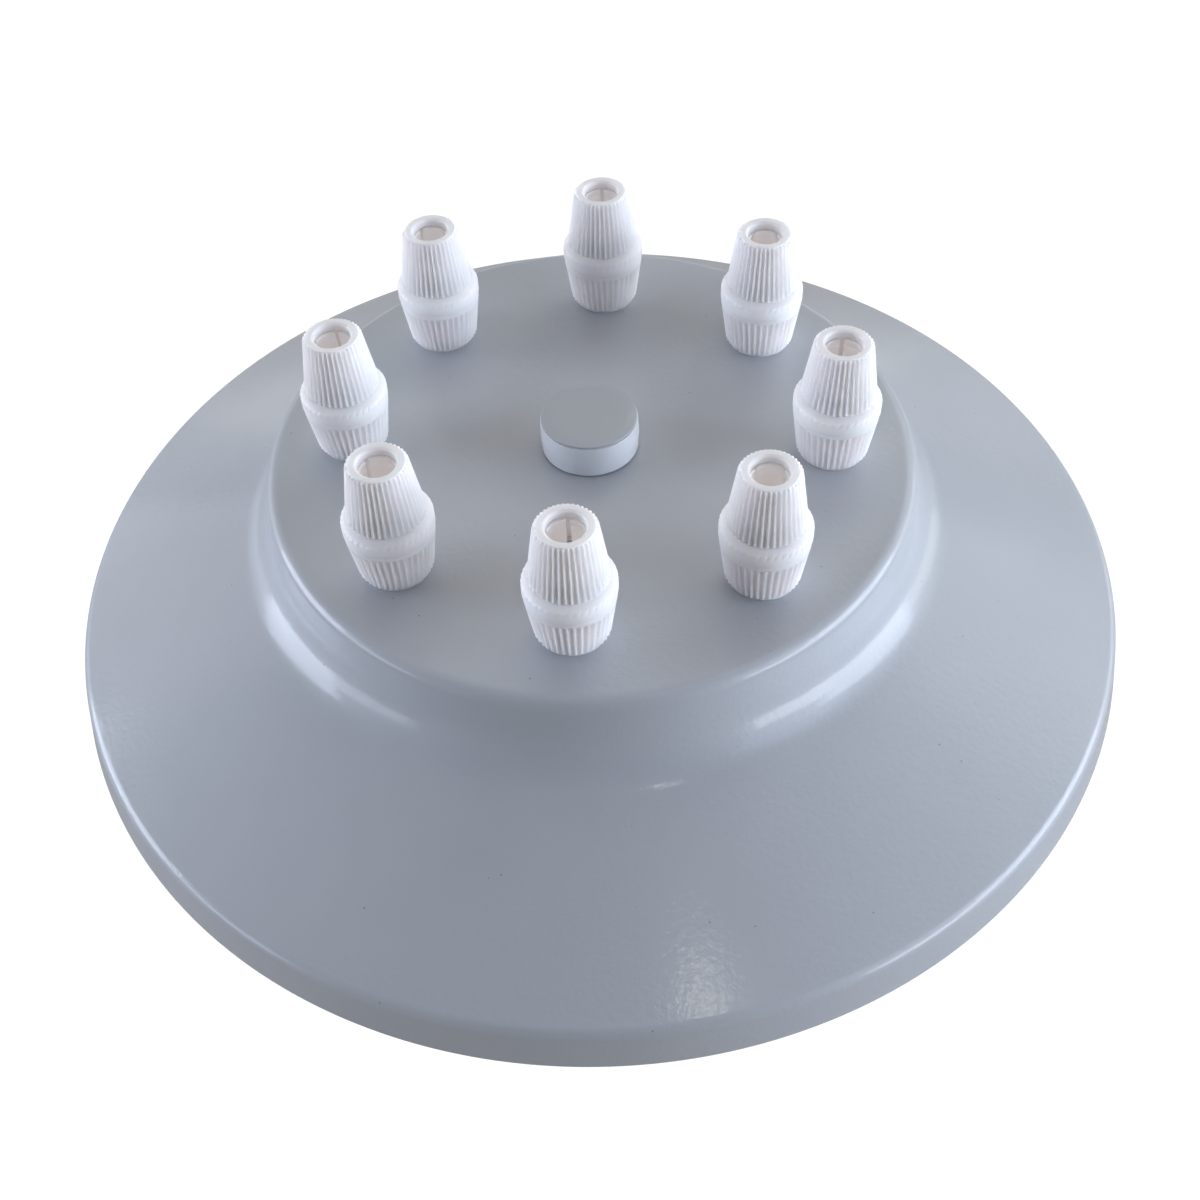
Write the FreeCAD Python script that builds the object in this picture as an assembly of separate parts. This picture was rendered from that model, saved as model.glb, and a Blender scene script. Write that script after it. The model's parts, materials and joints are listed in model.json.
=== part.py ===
import FreeCAD, Part
import math
import os

# A ceiling rose for a cluster of pendant lamps.
# A drawn steel plate carries a ring of screw cord grips round one centre cap.
# The plate lies on its rim with the outlets up, as it does on a bench. Hung, the rim meets the ceiling.
# Millimetres. Z = 0 is the plane of the rim, +Z points out of the ceiling, the centre is the plate's axis.

Vector = FreeCAD.Vector
UP = Vector(0, 0, 1)

# How far a cutter runs past a face, how close two lengths count as equal,
# and the share of a run that the rounding at one of its ends may take
overshoot = 1.0
tolerance = 0.01
rounding_share = 0.48

# Drawn steel plate
plate_radius = 100.0
plate_height = 38.0
sheet = 1.0
lip_height = 8.0
lip_lean = 1.5
lip_rounding = 2.6
wall_foot_radius = 59.7
wall_foot_height = 25.2
wall_foot_fillet = 11.0
boss_radius = 58.2
boss_rounding = 2.4

# Ring of outlets
outlet_count = 8
outlet_edge = 15.1
first_outlet_angle = -90.0
stud_thread = 9.9
stud_hole_clearance = 0.2

# Cord grip, lower half
seat_ring_radius = 5.7
seat_ring_height = 0.7
foot_radius = 6.3
waist_radius = 7.45
ribbed_base_height = 8.9
waist_height = 1.0
joint_rounding = 0.3
rib_count = 40
rib_depth = 0.5
stud_length = 11.0
thread_lead = 0.5

# Cord grip, hollow for the jaws
cable = 6.0
cable_clearance = 0.1
jaw_ring_wall = 0.8
guide_clearance = 0.1
jaw_seat_height = 6.5
key_count = 4
key_width = 1.2
key_depth = 0.45

# Cord grip, screw nipple and cap
nipple_radius = 5.25
nipple_height = 5.5
thread_clearance = 0.08
cap_pitch = 1.5
cap_turns = 3
collar_radius = 7.6
collar_height = 2.4
collar_rounding = 0.7
cap_shoulder = 0.75
cap_cone_radius = 6.65
cap_cone_top_radius = 5.05
cap_height = 14.1
crown_radius = 4.6
crown_height = 0.4
crown_rounding = 0.3
mouth_radius = 3.15
mouth_length = 1.5
mouth_dish = 0.35
cap_thread_relief = 0.5

# Clamping jaws, which snap into the cap
snap_lip_radius = 4.4
snap_lip_height = 0.6
snap_groove_radius = 4.9
snap_groove_height = 1.2
squeeze_top_radius = 3.45
jaw_clearance = 0.15
jaw_tip_wall = 0.5
jaw_neck_clearance = 0.2
jaw_tooth = 0.25
jaw_tooth_pitch = 1.2
jaw_tooth_count = 2
slit_width = 0.8
slit_height = 9.8
lug_clearance = 0.1

# Hexagon nuts
lock_nut_flats = 14.0
lock_nut_height = 4.0
tube_nut_flats = 14.0
tube_nut_height = 3.0
nut_thread_clearance = 0.05

# Centre cap, its washer and the threaded tube
tube_radius = 4.95
tube_wall = 1.0
tube_pitch = 1.0
tube_turns = 4
tube_below_nut = 2.0
tube_hole_clearance = 0.25
centre_cap_end_radius = 8.65
centre_cap_belly_radius = 8.82
centre_cap_belly_rounding = 9.0
centre_cap_height = 7.3
centre_cap_gap = 0.3
centre_cap_rim_radius = 8.5
centre_cap_rim_height = 0.55
centre_cap_groove = 0.2
centre_cap_edge_rounding = 0.25
centre_cap_flat_radius = 6.8
centre_cap_crown_rounding = 5.0
centre_cap_bore_clearance = 0.07
centre_cap_crown = 0.9
washer_outer_radius = 7.2
washer_bevel = 0.3
washer_bore_clearance = 0.4
washer_thickness = 1.0
washer_clearance = 0.12

# Folded steel bracket
bracket_width = 22.0
bracket_sheet = 1.5
bracket_rise = 10.0
bracket_deck_half = 37.0
bracket_ramp = 7.0
bracket_foot = 20.0
bracket_bend = 2.0
bracket_corner = 3.0
slot_length = 13.0
slot_width = 4.6

# Earth screw with its cup washer
earth_offset = 22.0
earth_screw_radius = 2.0
earth_screw_length = 7.0
earth_head_radius = 3.8
earth_head_height = 2.4
earth_head_clearance = 0.4
earth_washer_thickness = 0.8
earth_washer_lip = 1.4

# Terminal block
pole_count = 3
pole_pitch = 9.0
block_offset = 23.5
block_depth = 17.0
block_web = 2.0
barrel_radius = 2.9
barrel_height = 4.2
tower_radius = 2.4
tower_height = 11.0
tower_spread = 4.4
sleeve_radius = 2.3
sleeve_bore = 1.6
sleeve_length = 14.0
sleeve_clearance = 0.05
terminal_screw_radius = 1.25
terminal_screw_length = 6.2
terminal_screw_reach = 0.16
terminal_screw_clearance = 0.05
tower_bore_clearance = 0.35
screw_rounding = 0.3
drive_slot_depth = 0.7
terminal_slot_width = 0.5
earth_slot_width = 0.9
fixing_slot_width = 0.7
fixing_boss_radius = 2.5
fixing_boss_height = 7.4
fixing_screw_radius = 1.25
fixing_head_radius = 2.2
fixing_head_height = 1.6
fixing_screw_below = 1.5

# Heights and radii that follow from the sizes above
stud_radius = stud_thread / 2
outlet_radius = boss_radius - outlet_edge
waist_top = ribbed_base_height + waist_height
nipple_top = waist_top + nipple_height
cap_top = waist_top + cap_height
jaw_bore = cable / 2
stud_bore = jaw_bore + cable_clearance
jaw_ring_radius = jaw_bore + jaw_ring_wall
guide_radius = jaw_ring_radius + guide_clearance
key_radius = guide_radius + key_depth
cap_ledge = nipple_top + cap_thread_relief
snap_lip_top = cap_ledge + snap_lip_height
snap_groove_top = snap_lip_top + snap_groove_height
squeeze_top = cap_top - mouth_length
lug_length = nipple_top - jaw_seat_height - cap_pitch * cap_turns
tube_top = plate_height + washer_thickness + tube_pitch * tube_turns
deck_top = bracket_rise + bracket_sheet
tube_bottom = bracket_rise - tube_nut_height - tube_below_nut


def closed_wire(corners, place):
    """Wire through corners (u, v) or (u, v, rounding). place turns u and v into a point in space."""
    count = len(corners)
    flat = [Vector(corner[0], corner[1], 0) for corner in corners]
    starts = []
    ends = []
    middles = []
    for index, corner in enumerate(corners):
        before = flat[index] - flat[index - 1]
        after = flat[(index + 1) % count] - flat[index]
        turn = before.getAngle(after)
        rounding = corner[2] if len(corner) > 2 else 0
        room = rounding_share * min(before.Length, after.Length)
        reach = min(rounding * math.tan(turn / 2), room)
        towards = Vector(before).normalize()
        away = Vector(after).normalize()
        starts.append(flat[index] - towards * reach)
        ends.append(flat[index] + away * reach)
        if reach > 0:
            radius = reach / math.tan(turn / 2)
            inward = (away - towards).normalize()
            middles.append(flat[index] + inward * radius * (1 / math.cos(turn / 2) - 1))
        else:
            middles.append(None)
    edges = []
    for index in range(count):
        start, middle, end = starts[index], middles[index], ends[index]
        if middle:
            points = [place(point.x, point.y) for point in (start, middle, end)]
            edges.append(Part.Arc(*points).toShape())
        following = starts[(index + 1) % count]
        edges.append(Part.LineSegment(place(end.x, end.y), place(following.x, following.y)).toShape())
    return Part.Wire(edges)


def turned(corners):
    """Solid of revolution about Z of a closed outline of (radius, height) corners."""
    face = Part.Face(closed_wire(corners, lambda u, v: Vector(u, 0, v)))
    return face.revolve(Vector(0, 0, 0), UP, 360)


def folded(corners, width):
    """Solid with a closed outline of (x, z) corners, as wide as width and centred on y = 0."""
    face = Part.Face(closed_wire(corners, lambda u, v: Vector(u, -width / 2, v)))
    return face.extrude(Vector(0, width, 0))


def cylinder(radius, bottom, top, x=0, y=0):
    """Upright cylinder between two heights."""
    return Part.makeCylinder(radius, top - bottom, Vector(x, y, bottom))


def cross_cylinder(radius, length, x, z):
    """Cylinder along Y, centred on y = 0."""
    return Part.makeCylinder(radius, length, Vector(x, -length / 2, z), Vector(0, 1, 0))


def centred_box(length, width, bottom, top, x=0, y=0):
    """Upright box, centred on x and y."""
    corner = Vector(x - length / 2, y - width / 2, bottom)
    return Part.makeBox(length, width, top - bottom, corner)


def turned_about_z(shape, angle):
    """Copy of a shape, turned about the Z axis by an angle in degrees."""
    copy = shape.copy()
    copy.rotate(Vector(0, 0, 0), UP, angle)
    return copy


def beside(corners, distance):
    """Corners of the path that runs to the left of an open path, at a distance, with its roundings."""
    flat = [Vector(corner[0], corner[1], 0) for corner in corners]
    ways = [(b - a).normalize() for a, b in zip(flat, flat[1:])]
    lefts = [Vector(-way.y, way.x, 0) for way in ways]
    first = flat[0] + lefts[0] * distance
    last = flat[-1] + lefts[-1] * distance
    moved = [(first.x, first.y)]
    for index in range(1, len(flat) - 1):
        before, after = lefts[index - 1], lefts[index]
        middle = (before + after).normalize()
        point = flat[index] + middle * (distance / middle.dot(before))
        turns_left = ways[index - 1].cross(ways[index]).z > 0
        rounding = corners[index][2] + (-distance if turns_left else distance)
        moved.append((point.x, point.y, max(rounding, 0)))
    moved.append((last.x, last.y))
    return moved


def sheet_outline(corners, thickness):
    """Closed outline of a sheet whose face follows an open path, with its metal to the path's left."""
    return corners + beside(corners, thickness)[::-1]


def outlet_angles():
    """Angle of each outlet round the plate, in degrees."""
    return [first_outlet_angle + 360 * k / outlet_count for k in range(outlet_count)]


def at_outlet(shape, angle):
    """Copy of a grip's piece, moved from the centre of the rim plane to an outlet on the boss."""
    copy = shape.copy()
    copy.translate(Vector(outlet_radius, 0, plate_height))
    return turned_about_z(copy, angle)


def rose_plate():
    """Drawn plate: lip, sloping brim, filleted wall and flat boss, trimmed level at the rim."""
    path = [
        (plate_radius + lip_lean * overshoot / lip_height, -overshoot),
        (plate_radius - lip_lean, lip_height, lip_rounding),
        (wall_foot_radius, wall_foot_height, wall_foot_fillet),
        (boss_radius, plate_height, boss_rounding),
        (tube_radius + tube_hole_clearance, plate_height),
    ]
    plate = turned(sheet_outline(path, sheet))
    plate = plate.cut(cylinder(plate_radius + lip_lean + overshoot, -2 * overshoot - sheet, 0))
    below, above = plate_height - sheet - overshoot, plate_height + overshoot
    hole = cylinder(stud_radius + stud_hole_clearance, below, above, outlet_radius)
    for angle in outlet_angles():
        plate = plate.cut(turned_about_z(hole, angle))
    return plate


def ribbed_cone(bottom_radius, top_radius, bottom, top):
    """Cone whose wall is pleated into upright ribs. Its section is a star that changes size upwards."""
    groove = 1 - rib_depth / bottom_radius
    rings = []
    for radius, height in ((bottom_radius, bottom), (top_radius, top)):
        ring = []
        for k in range(2 * rib_count):
            reach = radius * (groove if k % 2 else 1)
            angle = math.pi * k / rib_count
            ring.append(Vector(reach * math.cos(angle), reach * math.sin(angle), height))
        rings.append(ring)
    low, high = rings
    faces = [Part.Face(Part.makePolygon(ring + ring[:1])) for ring in rings]
    for k in range(len(low)):
        quad = [low[k - 1], low[k], high[k], high[k - 1], low[k - 1]]
        faces.append(Part.Face(Part.makePolygon(quad)))
    return Part.makeSolid(Part.makeShell(faces))


def grip_body():
    """Lower half of a cord grip: hollow stud, seat ring, ribbed base, waist and nipple, with keyways."""
    core = turned([
        (0, -stud_length),
        (stud_radius, -stud_length, thread_lead),
        (stud_radius, 0),
        (seat_ring_radius, 0),
        (seat_ring_radius, ribbed_base_height),
        (waist_radius, ribbed_base_height),
        (waist_radius, waist_top, joint_rounding),
        (nipple_radius, waist_top),
        (nipple_radius, nipple_top, thread_lead),
        (0, nipple_top),
    ])
    body = core.fuse(ribbed_cone(foot_radius, waist_radius, seat_ring_height, ribbed_base_height))
    body = body.cut(turned([
        (0, -stud_length - overshoot),
        (stud_bore, -stud_length - overshoot),
        (stud_bore, jaw_seat_height),
        (guide_radius, jaw_seat_height),
        (guide_radius, nipple_top + overshoot),
        (0, nipple_top + overshoot),
    ]))
    keyway = Part.makeBox(key_radius, key_width, nipple_top + overshoot - jaw_seat_height)
    keyway.translate(Vector(0, -key_width / 2, jaw_seat_height))
    for k in range(key_count):
        body = body.cut(turned_about_z(keyway, (k + 0.5) * 360 / key_count))
    return body.removeSplitter()


def grip_jaws():
    """Clamping insert: a guided ring with slit, toothed fingers, and a bead that snaps into the cap."""
    neck = nipple_top + jaw_clearance
    bead_bottom = snap_lip_top + jaw_clearance
    bead_top = snap_groove_top - jaw_clearance
    tip = squeeze_top - jaw_clearance
    tip_radius = squeeze_top_radius - jaw_clearance
    tip_bore = tip_radius - jaw_tip_wall
    neck_radius = snap_lip_radius - jaw_neck_clearance
    tooth_bore = max(tip_bore, jaw_bore - jaw_tooth)
    outline = [
        (jaw_bore, jaw_seat_height),
        (jaw_ring_radius, jaw_seat_height),
        (jaw_ring_radius, neck),
        (neck_radius, neck + jaw_clearance),
        (neck_radius, bead_bottom),
        (snap_groove_radius - jaw_clearance, bead_bottom, jaw_clearance),
        (snap_groove_radius - jaw_clearance, bead_top, jaw_clearance),
        (squeeze_radius(bead_top) - jaw_clearance, bead_top),
        (tip_radius, tip, jaw_clearance),
    ]
    for k in range(jaw_tooth_count):
        top = tip - k * jaw_tooth_pitch
        outline.append((tooth_bore, top, 0 if k else jaw_clearance))
        outline.append((tooth_bore, top - jaw_tooth_pitch / 2))
        outline.append((jaw_bore, top - jaw_tooth_pitch * 3 / 4))
    jaws = turned(outline)
    lug_root = jaw_bore + jaw_ring_wall / 2
    lug_width = key_width - 2 * lug_clearance
    lug = Part.makeBox(key_radius - lug_clearance - lug_root, lug_width, lug_length)
    lug.translate(Vector(lug_root, -lug_width / 2, jaw_seat_height))
    for k in range(key_count):
        jaws = jaws.fuse(turned_about_z(lug, (k + 0.5) * 360 / key_count))
    slit = centred_box(2 * snap_groove_radius, slit_width, tip - slit_height, tip + overshoot)
    for angle in (0, 90):
        jaws = jaws.cut(turned_about_z(slit, angle))
    return jaws.removeSplitter()


def squeeze_radius(height):
    """Inside radius of the cap's squeezing cone at a height."""
    share = (height - snap_groove_top) / (squeeze_top - snap_groove_top)
    bottom_radius = (snap_lip_radius + snap_groove_radius) / 2
    return bottom_radius + share * (squeeze_top_radius - bottom_radius)


def grip_cap():
    """Upper half of a cord grip: collar, ribbed cone and crown round a dished mouth, hollow inside."""
    shoulder_bottom = waist_top + collar_height
    shoulder_top = shoulder_bottom + cap_shoulder
    crown_bottom = cap_top - crown_height
    cap = turned([
        (0, waist_top),
        (collar_radius, waist_top, joint_rounding),
        (collar_radius, shoulder_bottom, collar_rounding),
        (cap_cone_radius, shoulder_top),
        (0, shoulder_top),
    ])
    cap = cap.fuse(ribbed_cone(cap_cone_radius, cap_cone_top_radius, shoulder_bottom, crown_bottom))
    cap = cap.fuse(turned([
        (0, crown_bottom),
        (crown_radius, crown_bottom),
        (crown_radius, cap_top, crown_rounding),
        (0, cap_top),
    ]))
    cap = cap.cut(turned([
        (0, waist_top - overshoot),
        (nipple_radius + thread_clearance, waist_top - overshoot),
        (nipple_radius + thread_clearance, cap_ledge),
        (snap_lip_radius, cap_ledge),
        (snap_lip_radius, snap_lip_top),
        (snap_groove_radius, snap_lip_top),
        (snap_groove_radius, snap_groove_top),
        (squeeze_radius(snap_groove_top), snap_groove_top),
        (squeeze_top_radius, squeeze_top),
        (mouth_radius, squeeze_top),
        (mouth_radius, cap_top - mouth_dish),
        (mouth_radius + mouth_dish, cap_top),
        (mouth_radius + mouth_dish, cap_top + overshoot),
        (0, cap_top + overshoot),
    ]))
    return cap.removeSplitter()


def hexagon_nut(flats, height, bore_radius):
    """Hexagon nut standing on z = 0, with its corners turned off at both ends."""
    corner = flats / math.sqrt(3)
    points = []
    for k in range(7):
        angle = math.radians(60 * k)
        points.append(Vector(corner * math.cos(angle), corner * math.sin(angle), 0))
    prism = Part.Face(Part.makePolygon(points)).extrude(Vector(0, 0, height))
    bevel = (corner - flats / 2) / 2
    prism = prism.common(turned([
        (0, 0),
        (flats / 2, 0),
        (corner, bevel),
        (corner, height - bevel),
        (flats / 2, height),
        (0, height),
    ]))
    return prism.cut(cylinder(bore_radius, -overshoot, height + overshoot))


def lock_nut():
    """Nut that draws a grip's stud down, in the grip's own frame."""
    nut = hexagon_nut(lock_nut_flats, lock_nut_height, stud_radius + nut_thread_clearance)
    nut.translate(Vector(0, 0, -sheet - lock_nut_height))
    return nut


def tube_nut(bottom):
    """Thin nut on the threaded tube, standing at a height."""
    nut = hexagon_nut(tube_nut_flats, tube_nut_height, tube_radius + nut_thread_clearance)
    nut.translate(Vector(0, 0, bottom))
    return nut


def threaded_tube():
    """Hollow tube that holds the plate to the bracket."""
    return turned([
        (tube_radius - tube_wall, tube_bottom),
        (tube_radius, tube_bottom, thread_lead),
        (tube_radius, tube_top, thread_lead),
        (tube_radius - tube_wall, tube_top),
    ])


def centre_cap():
    """Blind screw cap over the tube: bellied skirt, fine groove, rim and crown, undercut for its washer."""
    bottom = plate_height + centre_cap_gap
    top = plate_height + centre_cap_height
    rim_bottom = top - centre_cap_rim_height
    bore = tube_radius + centre_cap_bore_clearance
    recess_top = plate_height + washer_thickness
    recess_radius = washer_outer_radius + washer_clearance
    lip_share = (washer_thickness - centre_cap_gap) / washer_thickness
    groove_bottom = rim_bottom - centre_cap_groove
    groove_radius = centre_cap_rim_radius - centre_cap_groove
    return turned([
        (recess_radius - washer_bevel * lip_share, bottom),
        (centre_cap_end_radius, bottom, centre_cap_edge_rounding),
        (centre_cap_belly_radius, (bottom + groove_bottom) / 2, centre_cap_belly_rounding),
        (centre_cap_end_radius, groove_bottom, centre_cap_edge_rounding),
        (groove_radius, groove_bottom),
        (groove_radius, rim_bottom),
        (centre_cap_rim_radius, rim_bottom),
        (centre_cap_rim_radius, (rim_bottom + top) / 2, centre_cap_edge_rounding),
        (centre_cap_flat_radius, top, centre_cap_crown_rounding),
        (0, top),
        (0, top - centre_cap_crown),
        (bore, top - centre_cap_crown),
        (bore, recess_top),
        (recess_radius, recess_top),
    ])


def cap_washer():
    """Bevelled washer caught in the undercut of the centre cap, lying on the plate."""
    bore = tube_radius + washer_bore_clearance
    return turned([
        (bore, plate_height),
        (washer_outer_radius - washer_bevel, plate_height),
        (washer_outer_radius, plate_height + washer_thickness),
        (bore, plate_height + washer_thickness),
    ])


def ceiling_bracket():
    """Folded strap: feet on the ceiling plane with long slots, and a raised deck with its holes."""
    ramp_foot = bracket_deck_half + bracket_ramp
    end = ramp_foot + bracket_foot
    path = [
        (-end, 0),
        (-ramp_foot, 0, bracket_bend),
        (-bracket_deck_half, bracket_rise, bracket_bend + bracket_sheet),
        (bracket_deck_half, bracket_rise, bracket_bend + bracket_sheet),
        (ramp_foot, 0, bracket_bend),
        (end, 0),
    ]
    strap = folded(sheet_outline(path, bracket_sheet), bracket_width)
    corners = [edge for edge in strap.Edges if is_end_corner(edge, end)]
    strap = strap.makeFillet(bracket_corner, corners)
    for side in (-1, 1):
        strap = strap.cut(foot_slot(side * (ramp_foot + bracket_foot / 2)))
    below, above = bracket_rise - overshoot, deck_top + overshoot
    strap = strap.cut(cylinder(tube_radius + nut_thread_clearance, below, above))
    strap = strap.cut(cylinder(earth_screw_radius + nut_thread_clearance, below, above, -earth_offset))
    return strap.cut(cylinder(fixing_screw_radius + nut_thread_clearance, below, above, fixing_offset()))


def is_end_corner(edge, end):
    """Whether an edge is one of the four upright corners of the strap's ends."""
    low = edge.BoundBox
    at_end = abs(abs(low.Center.x) - end) < tolerance
    return at_end and low.ZLength > bracket_sheet / 2 and low.YLength < tolerance


def foot_slot(x):
    """Cutter for a round-ended slot along X, centred at x."""
    run = slot_length - slot_width
    bottom, top = -overshoot, bracket_sheet + overshoot
    slot = centred_box(run, slot_width, bottom, top, x)
    for side in (-1, 1):
        slot = slot.fuse(cylinder(slot_width / 2, bottom, top, x + side * run / 2))
    return slot


def earth_washer():
    """Square cup washer under the earth screw's head, with two sides turned up round the wire."""
    half = earth_head_radius + earth_head_clearance + earth_washer_thickness
    outer = earth_washer_thickness + earth_washer_lip
    washer = folded([
        (-half, 0),
        (half, 0),
        (half, outer),
        (half - earth_washer_thickness, outer),
        (half - earth_washer_thickness, earth_washer_thickness),
        (earth_washer_thickness - half, earth_washer_thickness),
        (earth_washer_thickness - half, outer),
        (-half, outer),
    ], 2 * half)
    washer = washer.cut(cylinder(earth_screw_radius + nut_thread_clearance, -overshoot, outer))
    washer.translate(Vector(-earth_offset, 0, deck_top))
    return washer


def pan_screw(shank_radius, shank_length, head_radius, head_height, slot_across):
    """Slotted pan-head screw, pointing down, with its head's underside at z = 0."""
    screw = turned([
        (0, -shank_length),
        (shank_radius, -shank_length, screw_rounding),
        (shank_radius, 0),
        (head_radius, 0),
        (head_radius, head_height, head_height / 2),
        (0, head_height),
    ])
    bottom, top = head_height - drive_slot_depth, head_height + overshoot
    return screw.cut(centred_box(2 * head_radius + overshoot, slot_across, bottom, top))


def earth_screw():
    """Screw that clamps the earth wires to the bracket."""
    length, slot_across = earth_screw_length, earth_slot_width
    screw = pan_screw(earth_screw_radius, length, earth_head_radius, earth_head_height, slot_across)
    screw.translate(Vector(-earth_offset, 0, deck_top + earth_washer_thickness))
    return screw


def pole_offsets():
    """X of each pole of the terminal block."""
    return [block_offset + pole_pitch * (k - (pole_count - 1) / 2) for k in range(pole_count)]


def fixing_offset():
    """X of the block's fixing screw, between the first two poles."""
    return pole_offsets()[0] + pole_pitch / 2


def terminal_block():
    """Insulating block: a web that joins the poles, each a barrel with two towers, and a fixing boss."""
    barrel_axis = deck_top + barrel_height
    length = pole_pitch * (pole_count - 1) + 2 * barrel_radius
    block = centred_box(length, block_depth, deck_top, deck_top + block_web, block_offset)
    boss_top = deck_top + fixing_boss_height
    block = block.fuse(cylinder(fixing_boss_radius, deck_top, boss_top, fixing_offset()))
    for x in pole_offsets():
        block = block.fuse(cross_cylinder(barrel_radius, block_depth, x, barrel_axis))
        block = block.fuse(centred_box(2 * barrel_radius, block_depth, deck_top, barrel_axis, x))
        for y in (-tower_spread, tower_spread):
            block = block.fuse(cylinder(tower_radius, barrel_axis, deck_top + tower_height, x, y))
    way = sleeve_radius + sleeve_clearance
    well = terminal_screw_radius + tower_bore_clearance
    for x in pole_offsets():
        block = block.cut(cross_cylinder(way, block_depth + overshoot, x, barrel_axis))
        for y in (-tower_spread, tower_spread):
            block = block.cut(cylinder(well, barrel_axis, deck_top + tower_height + overshoot, x, y))
    hole = fixing_screw_radius + nut_thread_clearance
    block = block.cut(cylinder(hole, bracket_rise, boss_top + overshoot, fixing_offset()))
    return block.removeSplitter()


def terminal_sleeve(x):
    """Brass sleeve of one pole, bored for the wires and drilled from above for its two screws."""
    axis = deck_top + barrel_height
    sleeve = cross_cylinder(sleeve_radius, sleeve_length, x, axis)
    sleeve = sleeve.cut(cross_cylinder(sleeve_bore, sleeve_length + overshoot, x, axis))
    hole = terminal_screw_radius + terminal_screw_clearance
    for y in (-tower_spread, tower_spread):
        sleeve = sleeve.cut(cylinder(hole, axis, axis + 2 * sleeve_radius, x, y))
    return sleeve


def terminal_screws():
    """The clamping screws of every pole, each backed off to leave the sleeve's bore open."""
    bottom = deck_top + barrel_height + sleeve_bore - terminal_screw_reach
    top = bottom + terminal_screw_length
    screw = turned([
        (0, bottom),
        (terminal_screw_radius, bottom, screw_rounding),
        (terminal_screw_radius, top, screw_rounding),
        (0, top),
    ])
    length = 2 * terminal_screw_radius + overshoot
    slot = centred_box(length, terminal_slot_width, top - drive_slot_depth, top + overshoot)
    screw = screw.cut(slot)
    screws = []
    for x in pole_offsets():
        for y in (-tower_spread, tower_spread):
            copy = screw.copy()
            copy.translate(Vector(x, y, 0))
            screws.append(copy)
    return Part.makeCompound(screws)


def block_screw():
    """Screw that fixes the terminal block to the bracket."""
    length = fixing_boss_height + bracket_sheet + fixing_screw_below
    head_radius, head_height = fixing_head_radius, fixing_head_height
    screw = pan_screw(fixing_screw_radius, length, head_radius, head_height, fixing_slot_width)
    screw.translate(Vector(fixing_offset(), 0, deck_top + fixing_boss_height))
    return screw


def all_pieces():
    """Every piece of the ceiling rose by name."""
    pieces = {
        "rose_plate": rose_plate(),
        "centre_cap": centre_cap(),
        "cap_washer": cap_washer(),
        "threaded_tube": threaded_tube(),
        "tube_nut_upper": tube_nut(deck_top),
        "tube_nut_lower": tube_nut(bracket_rise - tube_nut_height),
        "ceiling_bracket": ceiling_bracket(),
        "earth_washer": earth_washer(),
        "earth_screw": earth_screw(),
        "terminal_block": terminal_block(),
        "terminal_screws": terminal_screws(),
        "block_screw": block_screw(),
    }
    for number, x in enumerate(pole_offsets(), 1):
        pieces[f"terminal_sleeve_{number}"] = terminal_sleeve(x)
    grip = {
        "grip_body": grip_body(),
        "grip_jaws": grip_jaws(),
        "grip_cap": grip_cap(),
        "lock_nut": lock_nut(),
    }
    for number, angle in enumerate(outlet_angles(), 1):
        for name, shape in grip.items():
            pieces[f"{name}_{number}"] = at_outlet(shape, angle)
    return pieces


os.makedirs("parts", exist_ok=True)
for node, shape in all_pieces().items():
    shape.exportStep(f"parts/{node}.step")
    print(node, len(shape.Solids), shape.isValid(), round(shape.Volume, 2))
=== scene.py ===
"""Looks of a white multi-outlet ceiling rose, dressed around its construction model.

Lengths in the classes are millimetres, and become metres where a mesh is made.
"""

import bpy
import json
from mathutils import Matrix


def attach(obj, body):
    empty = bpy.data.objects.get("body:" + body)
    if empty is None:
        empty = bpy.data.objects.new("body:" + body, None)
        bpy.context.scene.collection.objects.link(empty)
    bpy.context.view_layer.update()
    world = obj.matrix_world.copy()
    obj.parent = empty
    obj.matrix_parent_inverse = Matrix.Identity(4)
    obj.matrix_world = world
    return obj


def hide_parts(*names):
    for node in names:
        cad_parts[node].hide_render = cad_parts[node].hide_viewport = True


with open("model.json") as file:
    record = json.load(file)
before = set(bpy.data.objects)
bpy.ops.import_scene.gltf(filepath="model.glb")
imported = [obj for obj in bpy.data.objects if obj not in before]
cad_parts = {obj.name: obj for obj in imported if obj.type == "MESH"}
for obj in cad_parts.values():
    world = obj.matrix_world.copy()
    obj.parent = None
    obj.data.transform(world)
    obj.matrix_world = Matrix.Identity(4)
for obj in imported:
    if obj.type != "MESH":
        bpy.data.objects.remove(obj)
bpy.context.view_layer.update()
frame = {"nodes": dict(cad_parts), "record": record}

import json
import logging
import math
from collections.abc import Callable
from dataclasses import dataclass
from enum import Enum

import bmesh
import bpy
import numpy as np
from mathutils import Matrix, Vector

MM = 0.001
TURN = 2.0 * math.pi
# Millimetres: points that count as one, and the step between rows of neighbouring bands.
MERGE_DISTANCE = 0.001
ROW_GAP = 0.05
# Shares of a run that an arc may take, and of an arc's radius that its holding points may stand off.
ARC_SHARE = 0.48
HOLD_SHARE = 0.3
# A thread's rows to a pitch, how steep its flanks are, and how much of them its flat crest takes off.
THREAD_ROWS = 6
THREAD_FLANK = 1.3
THREAD_CREST = 0.15
# Parts of a noise's range that clouds of colour and patches of roughness are stretched from.
CLOUD_RANGE = (0.35, 0.65)
PATCH_RANGE = (0.3, 0.7)
BEVEL_SEGMENTS = 2
BEVEL_ANGLE = 40.0

log = logging.getLogger("ceiling_rose")

Colour = tuple[float, float, float]
Shape = Callable[[np.ndarray, np.ndarray, np.ndarray], np.ndarray]


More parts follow.
